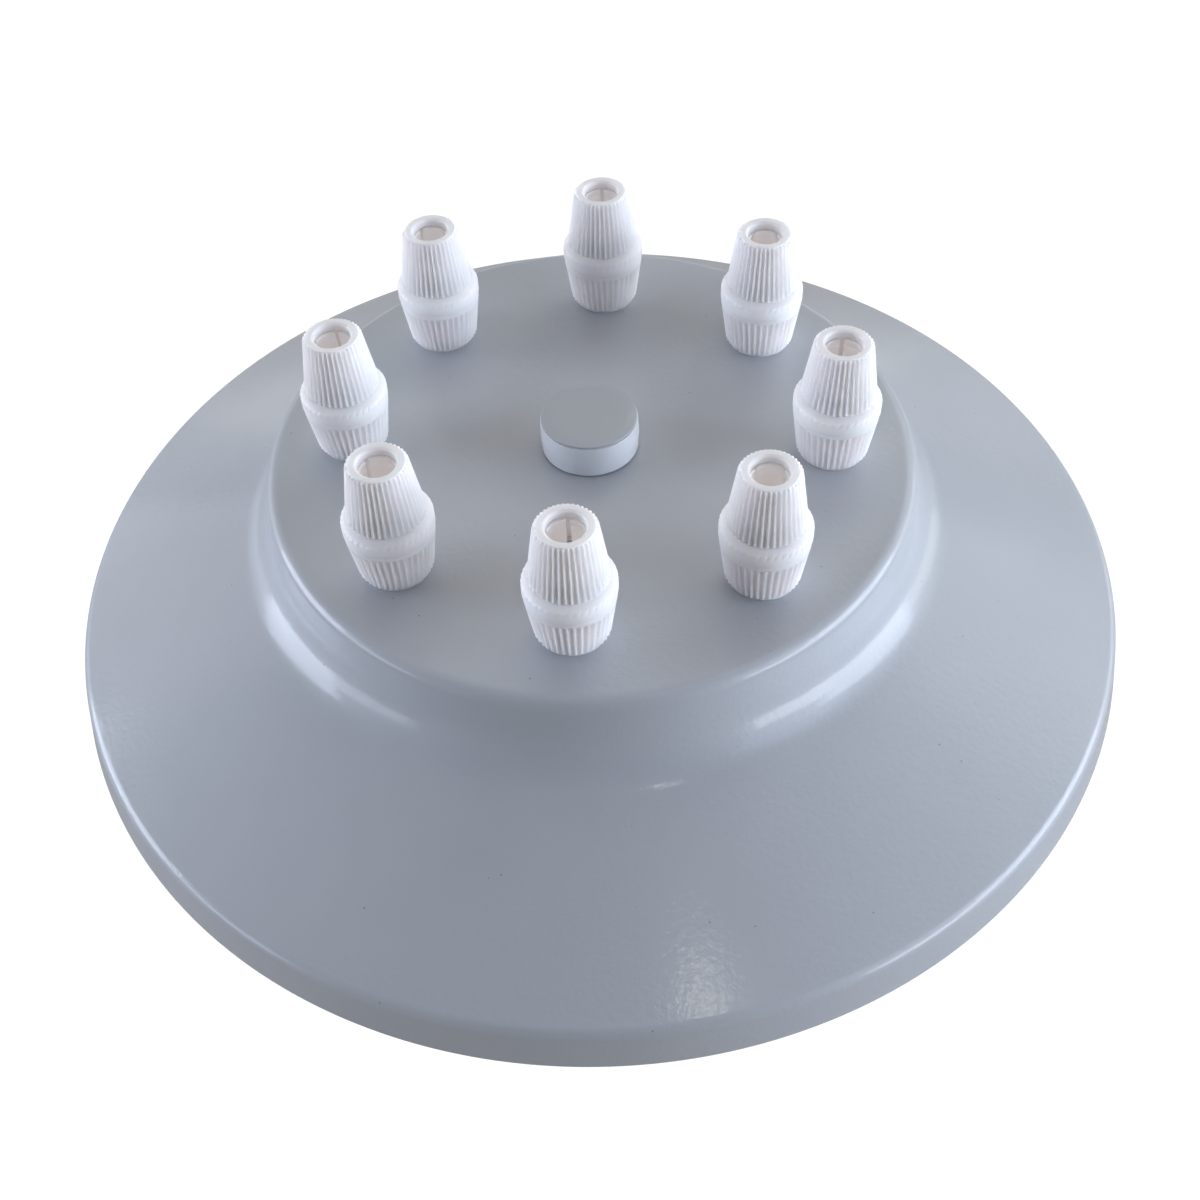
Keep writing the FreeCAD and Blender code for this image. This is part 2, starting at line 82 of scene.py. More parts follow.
class Slot(Enum):
    """Material slots of the record."""

    WHITE_COAT = "white_coat"
    GRIP_PLASTIC = "grip_plastic"
    NUT_PLASTIC = "nut_plastic"
    WASHER_PLASTIC = "washer_plastic"
    ZINC_STEEL = "zinc_steel"
    SCREW_STEEL = "screw_steel"
    BRASS = "brass"
    BLOCK_PLASTIC = "block_plastic"


class Edge(Enum):
    """How sharp a fold has to be, in degrees, before its shading breaks."""

    SOFT = 62.0
    CRISP = 32.0


# Profiles and surfaces


def outline(corners: list[tuple[float, ...]], steps: int = 6, hold: float = 0.08) -> np.ndarray:
    """Points along a path of straight runs with rounded corners.

    A rounding is the arc that touches both runs, walked in equal angles. A point at a short distance past
    each end of an arc holds the shading of the straight run flat. An arc takes up less than half of each run.

    Args:
        corners: (radius, height) or (radius, height, rounding) of each corner.
        steps: parts that each arc is divided into.
        hold: distance of the holding points from an arc.

    Returns:
        Array of (radius, height) rows.
    """
    flat = np.array([corner[:2] for corner in corners], float)
    rows = [flat[:1]]
    for index in range(1, len(corners) - 1):
        rounding = corners[index][2] if len(corners[index]) > 2 else 0.0
        if rounding <= 0.0:
            rows.append(flat[index : index + 1])
            continue
        before = flat[index] - flat[index - 1]
        after = flat[index + 1] - flat[index]
        towards = before / np.linalg.norm(before)
        away = after / np.linalg.norm(after)
        turn = math.acos(float(np.clip(towards @ away, -1.0, 1.0)))
        room = ARC_SHARE * min(np.linalg.norm(before), np.linalg.norm(after))
        radius = min(rounding * math.tan(turn / 2), room) / math.tan(turn / 2)
        inward = (away - towards) / np.linalg.norm(away - towards)
        centre = flat[index] + inward * radius / math.cos(turn / 2)
        bulge = -inward
        side = towards - bulge * float(towards @ bulge)
        side /= np.linalg.norm(side)
        swing = np.linspace(-turn / 2, turn / 2, steps + 1)[:, None]
        arc = centre + radius * (np.cos(swing) * bulge + np.sin(swing) * side)
        margin = min(hold, HOLD_SHARE * radius)
        rows.append(arc[:1] - towards * margin)
        rows.append(arc)
        rows.append(arc[-1:] + away * margin)
    rows.append(flat[-1:])
    return np.concatenate(rows)


def beside(path: np.ndarray, distance: float) -> np.ndarray:
    """Path that runs to the left of another, each point moved along the mean normal of its two runs.

    Args:
        path: (radius, height) rows.
        distance: gap between the paths.

    Returns:
        Array of (radius, height) rows, as many as in the path.
    """
    runs = np.diff(path, axis=0)
    runs /= np.linalg.norm(runs, axis=1)[:, None]
    lefts = np.stack([-runs[:, 1], runs[:, 0]], axis=1)
    means = np.concatenate([lefts[:1], lefts[1:] + lefts[:-1], lefts[-1:]])
    means /= np.linalg.norm(means, axis=1)[:, None]
    reach = np.concatenate([[1.0], np.sum(means[1:-1] * lefts[:-1], axis=1), [1.0]])
    return path + means * (distance / reach)[:, None]


def turn_about_z(points: np.ndarray, angle: float) -> np.ndarray:
    """Points turned about the Z axis by an angle in degrees."""
    cosine, sine = math.cos(math.radians(angle)), math.sin(math.radians(angle))
    return points @ np.array([[cosine, sine, 0.0], [-sine, cosine, 0.0], [0.0, 0.0, 1.0]])


def even_angles(count: int) -> np.ndarray:
    """Angles in radians that divide a whole turn evenly, from 0."""
    return TURN * np.arange(count) / count


@dataclass
class Band:
    """Rows of a turned surface that share one set of angles.

    The point of row j at angle a is (R cos a, R sin a, height of j), where R is the row's radius after the
    shape.
    """

    rows: np.ndarray | list[tuple[float, float]]
    angles: np.ndarray
    shape: Shape | None = None

    def points(self) -> np.ndarray:
        """Places the rows at every angle.

        Returns:
            Grid of points, rows by angles by three.
        """
        rows = np.asarray(self.rows, float)
        radius, height = rows[:, :1], rows[:, 1:]
        angle = self.angles[None, :]
        reach = radius + np.zeros_like(angle) if self.shape is None else self.shape(radius, height, angle)
        level = height + np.zeros_like(angle)
        return np.stack([reach * np.cos(angle), reach * np.sin(angle), level], axis=2)


class Surface:
    """Points with quads and triangles, gathered as whole arrays."""

    def __init__(self) -> None:
        """Starts with no point."""
        self.points: list[np.ndarray] = []
        self.quads: list[np.ndarray] = []
        self.triangles: list[np.ndarray] = []
        self.count = 0

    @classmethod
    def turned(cls, bands: list[Band], closed: bool = True) -> "Surface":
        """Makes a new surface of bands.

        Args:
            bands: the bands along the profile, as for add_bands.
            closed: whether the last band is joined to the first.

        Returns:
            The surface.
        """
        made = cls()
        made.add_bands(bands, closed)
        return made

    def add_points(self, points: np.ndarray) -> np.ndarray:
        """Adds points of any grid shape.

        Args:
            points: array whose last axis holds x, y and z.

        Returns:
            Their numbers, in the shape of the grid.
        """
        numbers = self.count + np.arange(points[..., 0].size).reshape(points.shape[:-1])
        self.points.append(points.reshape(-1, 3))
        self.count += numbers.size
        return numbers

    def add_rings(self, first: np.ndarray, second: np.ndarray) -> None:
        """Joins two rings of point numbers, each counted anticlockwise seen from above.

        Rings of one length are joined by quads. Otherwise one has a whole number of times as many points as
        the other, and each edge of the coarse ring fans to the fine one.

        Args:
            first: numbers of the ring that comes first along the profile.
            second: numbers of the ring that comes next.
        """
        if len(first) == len(second):
            self.quads.append(np.stack([first, np.roll(first, -1), np.roll(second, -1), second], axis=1))
            return
        coarse, fine = (first, second) if len(first) < len(second) else (second, first)
        share = len(fine) // len(coarse)
        start = np.repeat(coarse, share)
        fans = np.stack([start, fine, np.roll(fine, -1)], axis=1)
        closing = np.stack([coarse, np.roll(fine[::share], -1), np.roll(coarse, -1)], axis=1)
        triangles = np.concatenate([fans, closing])
        self.triangles.append(triangles[:, ::-1] if coarse is first else triangles)

    def add_bands(self, bands: list[Band], closed: bool = True) -> None:
        """Adds a turned surface made of bands, each joined to the next.

        Args:
            bands: the bands along the profile, which runs anticlockwise with the radius to the right.
            closed: whether the last band is joined to the first.
        """
        grids = [self.add_points(band.points()) for band in bands]
        for grid in grids:
            low, high = grid[:-1], grid[1:]
            ahead = np.roll(grid, -1, axis=1)
            quads = np.stack([low, ahead[:-1], ahead[1:], high], axis=2)
            self.quads.append(quads.reshape(-1, 4))
        for current, following in zip(grids, grids[1:]):
            self.add_rings(current[-1], following[0])
        if closed:
            self.add_rings(grids[-1][-1], grids[0][0])

    def placed(self, offset: tuple[float, float, float], angle: float) -> "Surface":
        """Copy that is moved by an offset and then turned about the Z axis.

        Args:
            offset: x, y and z of the move.
            angle: degrees of the turn.

        Returns:
            The copy, which shares the faces.
        """
        copy = Surface()
        copy.points = [turn_about_z(np.concatenate(self.points) + np.array(offset), angle)]
        copy.quads, copy.triangles, copy.count = self.quads, self.triangles, self.count
        return copy

    def build(self, name: str, edge: Edge) -> bpy.types.Object:
        """Makes a mesh object of the surface, in metres, with meeting points merged.

        Args:
            name: name of the object.
            edge: where the shading breaks.

        Returns:
            The object, at the origin.
        """
        quads = np.concatenate([np.zeros((0, 4), int), *self.quads])
        triangles = np.concatenate([np.zeros((0, 3), int), *self.triangles])
        mesh = bpy.data.meshes.new(name)
        points = np.concatenate(self.points) * MM
        mesh.vertices.add(len(points))
        mesh.vertices.foreach_set("co", points.astype(np.float32).ravel())
        loops = np.concatenate([quads.ravel(), triangles.ravel()])
        mesh.loops.add(len(loops))
        mesh.loops.foreach_set("vertex_index", loops.astype(np.int32))
        starts = np.concatenate([4 * np.arange(len(quads)), quads.size + 3 * np.arange(len(triangles))])
        mesh.polygons.add(len(starts))
        mesh.polygons.foreach_set("loop_start", starts.astype(np.int32))
        mesh.update(calc_edges=True)
        return finish_mesh(mesh, name, edge)


def finish_mesh(mesh: bpy.types.Mesh, name: str, edge: Edge) -> bpy.types.Object:
    """Merges meeting points, drops faces without area and sets the shading.

    Args:
        mesh: the mesh to finish.
        name: name of its object.
        edge: where the shading breaks.

    Returns:
        A new object that holds the mesh.
    """
    work = bmesh.new()
    work.from_mesh(mesh)
    bmesh.ops.remove_doubles(work, verts=work.verts, dist=MERGE_DISTANCE * MM)
    work.to_mesh(mesh)
    work.free()
    mesh.validate()
    mesh.shade_smooth()
    mesh.set_sharp_from_angle(angle=math.radians(edge.value))
    made = bpy.data.objects.new(name, mesh)
    bpy.context.scene.collection.objects.link(made)
    return made


def screw_thread(pitch: float, depth: float, bottom: float, top: float, outside: bool) -> Shape:
    """Radius of a right-hand thread with flattened crests that fades out at both ends.

    The cut goes from 0 on the crest, where height / pitch - angle / turn is whole, to the depth half a pitch
    away.

    Args:
        pitch: height of one turn.
        depth: depth of the groove.
        bottom: height where the thread starts.
        top: height where it ends.
        outside: whether it is cut into a shaft, and not into a bore.

    Returns:
        The shape for a band.
    """

    def shape(radius: np.ndarray, height: np.ndarray, angle: np.ndarray) -> np.ndarray:
        """Radius at each height and angle.

        Args:
            radius: plain radius of each row.
            height: height of each row.
            angle: angle of each column in radians.

        Returns:
            Radius less or plus the cut, rows by columns.
        """
        phase = height / pitch - angle / TURN
        away = 2.0 * np.abs(phase - np.round(phase))
        fade = np.clip(np.minimum(height - bottom, top - height) / pitch, 0.0, 1.0)
        cut = depth * fade * np.clip(THREAD_FLANK * away - THREAD_CREST, 0.0, 1.0)
        return radius - cut if outside else radius + cut

    return shape


def thread_rows(radius: float, start: float, end: float, pitch: float) -> np.ndarray:
    """Rows of a straight threaded stretch, a few to a pitch.

    Args:
        radius: radius of the stretch.
        start: height of the first row.
        end: height of the last row.
        pitch: height of one turn.

    Returns:
        Array of (radius, height) rows.
    """
    count = max(2, round(THREAD_ROWS * abs(end - start) / pitch))
    heights = np.linspace(start, end, count + 1)
    return np.stack([np.full_like(heights, radius), heights], axis=1)


# Finishes


class ShaderGraph:
    """Short way to add and join the nodes of one material."""

    def __init__(self, name: str) -> None:
        """Makes an empty material with an output and object coordinates.

        Args:
            name: name of the material.
        """
        self.material = bpy.data.materials.new(name)
        self.material.use_nodes = True
        self.nodes = self.material.node_tree.nodes
        self.links = self.material.node_tree.links
        self.nodes.clear()
        self.output = self.nodes.new("ShaderNodeOutputMaterial")
        self.coordinates = self.nodes.new("ShaderNodeTexCoord").outputs["Object"]

    def join(self, source: bpy.types.NodeSocket, target: bpy.types.NodeSocket) -> None:
        """Links two sockets."""
        self.links.new(source, target)

    def noise(self, scale: float, detail: float = 2.0) -> bpy.types.NodeSocket:
        """Adds a noise pattern.

        Args:
            scale: waves to a metre.
            detail: number of finer layers.

        Returns:
            Its value socket.
        """
        node = self.nodes.new("ShaderNodeTexNoise")
        node.inputs["Scale"].default_value = scale
        node.inputs["Detail"].default_value = detail
        self.join(self.coordinates, node.inputs["Vector"])
        return node.outputs["Fac"]

    def height(self) -> bpy.types.NodeSocket:
        """Adds the height above the rim's plane.

        Returns:
            Socket of the height in metres.
        """
        node = self.nodes.new("ShaderNodeSeparateXYZ")
        self.join(self.coordinates, node.inputs[0])
        return node.outputs["Z"]

    def remap(
        self, source: bpy.types.NodeSocket, low: float, high: float, new_low: float, new_high: float
    ) -> bpy.types.NodeSocket:
        """Maps a value from one range to another and clamps it.

        Args:
            source: the value.
            low: start of its range.
            high: end of its range.
            new_low: result at the start.
            new_high: result at the end.

        Returns:
            Socket of the result.
        """
        node = self.nodes.new("ShaderNodeMapRange")
        self.join(source, node.inputs["Value"])
        for name, value in (("From Min", low), ("From Max", high), ("To Min", new_low), ("To Max", new_high)):
            node.inputs[name].default_value = value
        return node.outputs["Result"]

    def mix(
        self, factor: bpy.types.NodeSocket, first: Colour | bpy.types.NodeSocket, second: Colour
    ) -> bpy.types.NodeSocket:
        """Mixes two colours by a factor.

        Args:
            factor: socket of the share of the second colour.
            first: colour at 0, or the socket of one.
            second: colour at 1.

        Returns:
            Socket of the mixed colour.
        """
        node = self.nodes.new("ShaderNodeMix")
        node.data_type = "RGBA"
        self.join(factor, node.inputs["Factor"])
        for socket, colour in zip([s for s in node.inputs if s.type == "RGBA"], (first, second)):
            if isinstance(colour, bpy.types.NodeSocket):
                self.join(colour, socket)
            else:
                socket.default_value = (*colour, 1.0)
        return next(s for s in node.outputs if s.type == "RGBA")

    def clouded(self, first: Colour, second: Colour, waves: float, detail: float) -> bpy.types.NodeSocket:
        """Mixes two near colours in soft clouds.

        Args:
            first: colour of the clear parts.
            second: colour of the clouds.
            waves: waves to a metre.
            detail: number of finer layers.

        Returns:
            Socket of the mixed colour.
        """
        return self.mix(self.remap(self.noise(waves, detail), *CLOUD_RANGE, 0.0, 1.0), first, second)

    def patchy(self, low: float, high: float, waves: float, detail: float) -> bpy.types.NodeSocket:
        """Value that wanders between two limits.

        Args:
            low: lower limit.
            high: upper limit.
            waves: waves to a metre.
            detail: number of finer layers.

        Returns:
            Socket of the value.
        """
        return self.remap(self.noise(waves, detail), *PATCH_RANGE, low, high)

    def grains(self, waves: float, radius: float, core: float, strength: float) -> bpy.types.NodeSocket:
        """Adds scattered round grains.

        Args:
            waves: cells to a metre, with one grain in each.
            radius: metres from a grain's middle to where it has faded out.
            core: share of the radius that is full.
            strength: value in a grain's core.

        Returns:
            Socket of the value, 0 between the grains.
        """
        cells = self.nodes.new("ShaderNodeTexVoronoi")
        cells.inputs["Scale"].default_value = waves
        self.join(self.coordinates, cells.inputs["Vector"])
        edge = radius * waves
        return self.remap(cells.outputs["Distance"], core * edge, edge, strength, 0.0)

    def add(
        self, first: bpy.types.NodeSocket, second: bpy.types.NodeSocket, share: float
    ) -> bpy.types.NodeSocket:
        """Adds a share of one value to another.

        Args:
            first: the main value.
            second: the value that is added.
            share: how much of it.

        Returns:
            Socket of the sum.
        """
        node = self.nodes.new("ShaderNodeMath")
        node.operation = "MULTIPLY_ADD"
        self.join(second, node.inputs[0])
        node.inputs[1].default_value = share
        self.join(first, node.inputs[2])
        return node.outputs[0]

    def bump(self, height: bpy.types.NodeSocket, distance: float) -> bpy.types.NodeSocket:
        """Turns a height pattern into a shading normal.

        Args:
            height: the pattern, from 0 to 1.
            distance: metres that its whole range stands for.

        Returns:
            Socket of the normal.
        """
        node = self.nodes.new("ShaderNodeBump")
        node.inputs["Distance"].default_value = distance
        self.join(height, node.inputs["Height"])
        return node.outputs["Normal"]

    def shader(self, **values: float | tuple[float, ...]) -> bpy.types.ShaderNode:
        """Adds the surface shader.

        Args:
            values: constants of its sockets, with _ for a space.

        Returns:
            The shader node, joined to the output.
        """
        node = self.nodes.new("ShaderNodeBsdfPrincipled")
        for name, value in values.items():
            node.inputs[name.replace("_", " ")].default_value = value
        self.join(node.outputs["BSDF"], self.output.inputs["Surface"])
        return node


@dataclass(frozen=True)
class PowderCoat:
    """Gloss powder coat: a smooth skin with orange peel and a few grains of dust baked in.

    Below a height, where one is given, the coat is painted paler: painted bounce light that stands in for the
    light the plate's boss throws up onto the cap's skirt.
    """

    name: str = "white_powder_coat"
    colour: Colour = (0.445, 0.466, 0.505)
    shade: Colour = (0.428, 0.449, 0.487)
    dust: Colour = (0.09, 0.09, 0.1)
    roughness: float = 0.5
    roughness_spread: float = 0.04
    coat: float = 0.5
    coat_roughness: float = 0.11
    cloud_waves: float = 35.0
    patch_waves: float = 180.0
    peel_waves: float = 850.0
    fine_waves: float = 2300.0
    fine_share: float = 0.22
    peel_height: float = 4.5e-5
    dust_waves: float = 200.0
    dust_radius: float = 1.8e-4
    dust_core: float = 0.55
    dust_strength: float = 0.7
    # Painted bounce light: the paler colour below the given height, and the blend into it.
    pale: Colour = (0.7, 0.73, 0.78)
    painted_bounce_below: float | None = None
    painted_bounce_blend: float = 2e-4

    def material(self) -> bpy.types.Material:
        """Builds the node material.

        Returns:
            The material.
        """
        graph = ShaderGraph(self.name)
        shader = graph.shader(Coat_Weight=self.coat, Coat_Roughness=self.coat_roughness)
        base = graph.clouded(self.colour, self.shade, self.cloud_waves, 2.0)
        # Painted bounce light: below the height the base colour is mixed towards the paler one.
        if self.painted_bounce_below is not None:
            edge = graph.remap(graph.height(), self.painted_bounce_below - self.painted_bounce_blend, self.painted_bounce_below, 1.0, 0.0)
            base = graph.mix(edge, base, self.pale)
        grain = graph.grains(self.dust_waves, self.dust_radius, self.dust_core, self.dust_strength)
        graph.join(graph.mix(grain, base, self.dust), shader.inputs["Base Color"])
        low, high = self.roughness - self.roughness_spread, self.roughness + self.roughness_spread
        graph.join(graph.patchy(low, high, self.patch_waves, 3.0), shader.inputs["Roughness"])
        relief = graph.add(graph.noise(self.peel_waves), graph.noise(self.fine_waves), self.fine_share)
        normal = graph.bump(relief, self.peel_height)
        graph.join(normal, shader.inputs["Normal"])
        graph.join(normal, shader.inputs["Coat Normal"])
        return graph.material


@dataclass(frozen=True)
class MouldedPlastic:
    """Satin moulded plastic with a fine skin, slightly cloudy to light.

    The shine is a painted glow: emission in the plastic's own colour that stands in for the light that
    reaches an inner piece through the thin walls round it.
    """

    name: str
    colour: Colour
    shade: Colour
    roughness: float = 0.5
    subsurface: float = 0.0
    depth: float = 0.0012
    blush: Colour = (1.0, 0.9, 0.85)
    painted_shine: float = 0.0
    roughness_spread: float = 0.06
    cloud_waves: float = 220.0
    patch_waves: float = 700.0
    grain_waves: float = 1800.0
    broad_waves: float = 300.0
    broad_share: float = 0.8
    grain_height: float = 1.5e-5

    def material(self) -> bpy.types.Material:
        """Builds the node material.

        Returns:
            The material.
        """
        graph = ShaderGraph(self.name)
        shader = graph.shader(
            Subsurface_Weight=self.subsurface,
            Subsurface_Radius=self.blush,
            Subsurface_Scale=self.depth,
            # Painted glow: emission in the plastic's own colour, as strong as the painted shine.
            Emission_Color=(*self.colour, 1.0),
            Emission_Strength=self.painted_shine,
        )
        base = graph.clouded(self.colour, self.shade, self.cloud_waves, 3.0)
        graph.join(base, shader.inputs["Base Color"])
        low, high = self.roughness - self.roughness_spread, self.roughness + self.roughness_spread
        graph.join(graph.patchy(low, high, self.patch_waves, 2.0), shader.inputs["Roughness"])
        broad = graph.noise(self.broad_waves)
        relief = graph.add(graph.noise(self.grain_waves, 4.0), broad, self.broad_share)
        graph.join(graph.bump(relief, self.grain_height), shader.inputs["Normal"])
        return graph.material


@dataclass(frozen=True)
class BareMetal:
    """Bright plated or turned metal with fine marks and a cloudy shine."""

    name: str
    colour: Colour
    shade: Colour
    roughness: float = 0.3
    brighter: float = 0.08
    duller: float = 0.1
    cloud_waves: float = 130.0
    patch_waves: float = 260.0
    mark_waves: float = 900.0
    broad_waves: float = 240.0
    broad_share: float = 0.6
    mark_height: float = 8e-6

    def material(self) -> bpy.types.Material:
        """Builds the node material.

        Returns:
            The material.
        """
        graph = ShaderGraph(self.name)
        shader = graph.shader(Metallic=1.0)
        base = graph.clouded(self.colour, self.shade, self.cloud_waves, 3.0)
        graph.join(base, shader.inputs["Base Color"])
        low, high = self.roughness - self.brighter, self.roughness + self.duller
        graph.join(graph.patchy(low, high, self.patch_waves, 4.0), shader.inputs["Roughness"])
        broad = graph.noise(self.broad_waves)
        relief = graph.add(graph.noise(self.mark_waves, 5.0), broad, self.broad_share)
        graph.join(graph.bump(relief, self.mark_height), shader.inputs["Normal"])
        return graph.material


FINISHES = {
    Slot.WHITE_COAT: PowderCoat(),
    Slot.GRIP_PLASTIC: MouldedPlastic(
        name="grip_white_plastic",
        colour=(0.94, 0.905, 0.91),
        shade=(0.91, 0.875, 0.885),
        roughness=0.42,
        subsurface=0.85,
        depth=0.0017,
    ),
    Slot.NUT_PLASTIC: MouldedPlastic(
        name="nut_white_nylon",
        colour=(0.8, 0.8, 0.79),
        shade=(0.76, 0.76, 0.75),
        roughness=0.42,
        subsurface=0.2,
    ),
    Slot.WASHER_PLASTIC: MouldedPlastic(
        name="washer_grey_plastic",
        colour=(0.72, 0.72, 0.71),
        shade=(0.68, 0.68, 0.67),
        roughness=0.6,
    ),
    Slot.BLOCK_PLASTIC: MouldedPlastic(
        name="block_ivory_plastic",
        colour=(0.8, 0.79, 0.74),
        shade=(0.76, 0.75, 0.7),
        roughness=0.36,
        subsurface=0.1,
    ),
    Slot.ZINC_STEEL: BareMetal("bright_zinc_plate", (0.66, 0.68, 0.7), (0.58, 0.61, 0.66), 0.3),
    Slot.SCREW_STEEL: BareMetal("bright_screw_steel", (0.6, 0.6, 0.6), (0.52, 0.52, 0.53), 0.28),
    Slot.BRASS: BareMetal("turned_brass", (0.78, 0.6, 0.3), (0.7, 0.52, 0.25), 0.27),
}

# The jaws' plastic has a painted glow that lightens them inside the caps' mouths.
JAW_PLASTIC = MouldedPlastic(
    name="jaw_white_plastic",
    colour=(0.94, 0.9, 0.9),
    shade=(0.91, 0.865, 0.865),
    roughness=0.45,
    subsurface=0.6,
    depth=0.0013,
    painted_shine=0.12,
)


class Workshop:
    """Gives each piece its finish, its body and the node that it stands for."""

    def __init__(self) -> None:
        """Builds every finish once."""
        self.materials = {slot: finish.material() for slot, finish in FINISHES.items()}
        bodies = frame["record"]["behaviour"]["bodies"]
        self.body_of = {node: body for body, nodes in bodies.items() for node in nodes}

    def fit(
        self, piece: bpy.types.Object, slot: Slot, node: str, finish: bpy.types.Material | None = None
    ) -> None:
        """Dresses a piece, and lets it stand for a construction node on that node's body.

        Args:
            piece: the object.
            slot: its slot in the record.
            node: the node that it replaces.
            finish: its material, where it isn't the slot's usual one.
        """
        piece.data.materials.clear()
        piece.data.materials.append(finish or self.materials[slot])
        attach(piece, self.body_of[node])
        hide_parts(node)
        piece.data.calc_loop_triangles()
        log.info("%s: %d triangles, %s", piece.name, len(piece.data.loop_triangles), slot.value)

    def softened(
        self, node: str, name: str, slot: Slot, bevel: float = 0.0, finish: bpy.types.Material | None = None
    ) -> None:
        """Puts a copy of a construction node in its place, merged, with a fine bevel on its edges.

        Args:
            node: the node.
            name: name of the copy.
            slot: its slot in the record.
            bevel: width of the bevel, or 0 for none.
            finish: its material, where it isn't the slot's usual one.
        """
        piece = finish_mesh(frame["nodes"][node].data.copy(), name, Edge.CRISP)
        if bevel > 0.0:
            modifier = piece.modifiers.new("fine_bevel", "BEVEL")
            modifier.width = bevel * MM
            modifier.segments = BEVEL_SEGMENTS
            modifier.limit_method = "ANGLE"
            modifier.angle_limit = math.radians(BEVEL_ANGLE)
            modifier.use_clamp_overlap = True
        self.fit(piece, slot, node, finish)


# Sub-assemblies


@dataclass
class RosePlate:
    """Drawn steel plate: lip, sloping brim, filleted wall and flat boss with its nine holes."""

    radius: float = 100.0
    height: float = 38.0
    sheet: float = 1.0
    lip_height: float = 8.0
    lip_lean: float = 1.5
    lip_rounding: float = 2.6
    foot_radius: float = 59.7
    foot_height: float = 25.2
    foot_fillet: float = 11.0
    boss_radius: float = 58.2
    boss_rounding: float = 2.4
    rim_rounding: float = 0.22
    outlets: int = 8
    first_outlet: float = -90.0
    outlet_radius: float = 43.1
    outlet_hole: float = 5.15
    centre_hole: float = 5.2
    below_rim: float = 1.0
    angles: int = 384
    arc_steps: int = 14
    arc_hold: float = 0.4
    rim_steps: int = 4
    side_steps: int = 14
    flat_rings: int = 6

    def outlet_angles(self) -> list[float]:
        """Angle of each outlet in degrees."""
        return [self.first_outlet + 360.0 * k / self.outlets for k in range(self.outlets)]

    def face_path(self) -> np.ndarray:
        """Rows of the outer face, from the rim up to where the boss is flat.

        Returns:
            Array of (radius, height) rows, the first on the line of the lip below the rim.
        """
        spread = self.lip_lean * self.below_rim / self.lip_height
        path = outline(
            [
                (self.radius + spread, -self.below_rim),
                (self.radius - self.lip_lean, self.lip_height, self.lip_rounding),
                (self.foot_radius, self.foot_height, self.foot_fillet),
                (self.boss_radius, self.height, self.boss_rounding),
                (self.centre_hole, self.height),
            ],
            self.arc_steps,
            self.arc_hold,
        )
        return path[:-1]

    def trimmed(self, path: np.ndarray) -> np.ndarray:
        """Path cut off at the rim plane.

        Args:
            path: rows whose first run crosses height 0.

        Returns:
            Rows that start at height 0.
        """
        run = path[1] - path[0]
        start = path[0] - run * path[0, 1] / run[1]
        return np.concatenate([start[None], path[1:]])

    def section(self) -> np.ndarray:
        """Open section of the sheet: underside of the boss, round the rim, top of the boss.

        Returns:
            Array of (radius, height) rows.
        """
        outer = self.face_path()
        inner = self.trimmed(beside(outer, self.sheet))
        outer = self.trimmed(outer)
        rim = outline(
            [
                tuple(inner[1]),
                (inner[0, 0], 0.0, self.rim_rounding),
                (outer[0, 0], 0.0, self.rim_rounding),
                tuple(outer[1]),
            ],
            self.rim_steps,
        )
        return np.concatenate([inner[:1:-1], rim, outer[2:]])

    def drilled_sector(self, rim: float) -> np.ndarray:
        """Flat eighth of the boss round one outlet hole, as rings from the hole to the sector's border.

        The border goes anticlockwise: rim arc, one side, arc of the centre hole, other side. Each ring is the
        hole's circle moved an equal share of the way to the border, point by point.

        Args:
            rim: radius of the flat.

        Returns:
            Array of rings by points by two, for a hole on the X axis.
        """
        half = math.pi / self.outlets
        arc = np.linspace(-half, half, self.angles // self.outlets + 1)
        side = np.linspace(rim, self.centre_hole, self.side_steps + 1)[1:-1]
        upper, lower = np.full_like(side, half), np.full_like(side, -half)
        far = np.full_like(arc, rim)
        near = np.full_like(arc, self.centre_hole)
        reach = np.concatenate([far, side, near, side[::-1]])
        angle = np.concatenate([arc, upper, arc[::-1], lower])
        border = np.stack([reach * np.cos(angle), reach * np.sin(angle)], axis=1)
        centre = np.array([self.outlet_radius, 0.0])
        ray = border - centre
        circle = centre + self.outlet_hole * ray / np.linalg.norm(ray, axis=1)[:, None]
        share = np.linspace(0.0, 1.0, self.flat_rings + 1)[:, None, None]
        return circle + share * (border - circle)

    def surface(self) -> Surface:
        """The whole sheet: the turned section, and the drilled flat of the boss in eight sectors.

        Returns:
            A closed surface.
        """
        section = self.section()
        angles = even_angles(self.angles)
        made = Surface.turned([Band(section, angles)], closed=False)
        flat = self.drilled_sector(float(section[-1, 0]))
        for angle in self.outlet_angles():
            rings = []
            for height in (self.height, self.height - self.sheet):
                level = np.full((*flat.shape[:2], 1), height)
                rings.append(made.add_points(turn_about_z(np.concatenate([flat, level], axis=2), angle)))
            top, under = rings
            for grid, upward in ((top, True), (under, False)):
                ahead = np.roll(grid, -1, axis=1)
                quads = np.stack([grid[:-1], grid[1:], ahead[1:], ahead[:-1]], axis=2).reshape(-1, 4)
                made.quads.append(quads if upward else quads[:, ::-1])
            made.add_rings(top[0], under[0])
        bore = [(self.centre_hole, self.height), (self.centre_hole, self.height - self.sheet)]
        made.add_bands([Band(bore, angles)], closed=False)
        return made

    def build(self, shop: Workshop) -> None:
        """Makes and dresses the plate.

        Args:
            shop: gives the finish.
        """
        shop.fit(self.surface().build("coated_plate", Edge.CRISP), Slot.WHITE_COAT, "rose_plate")


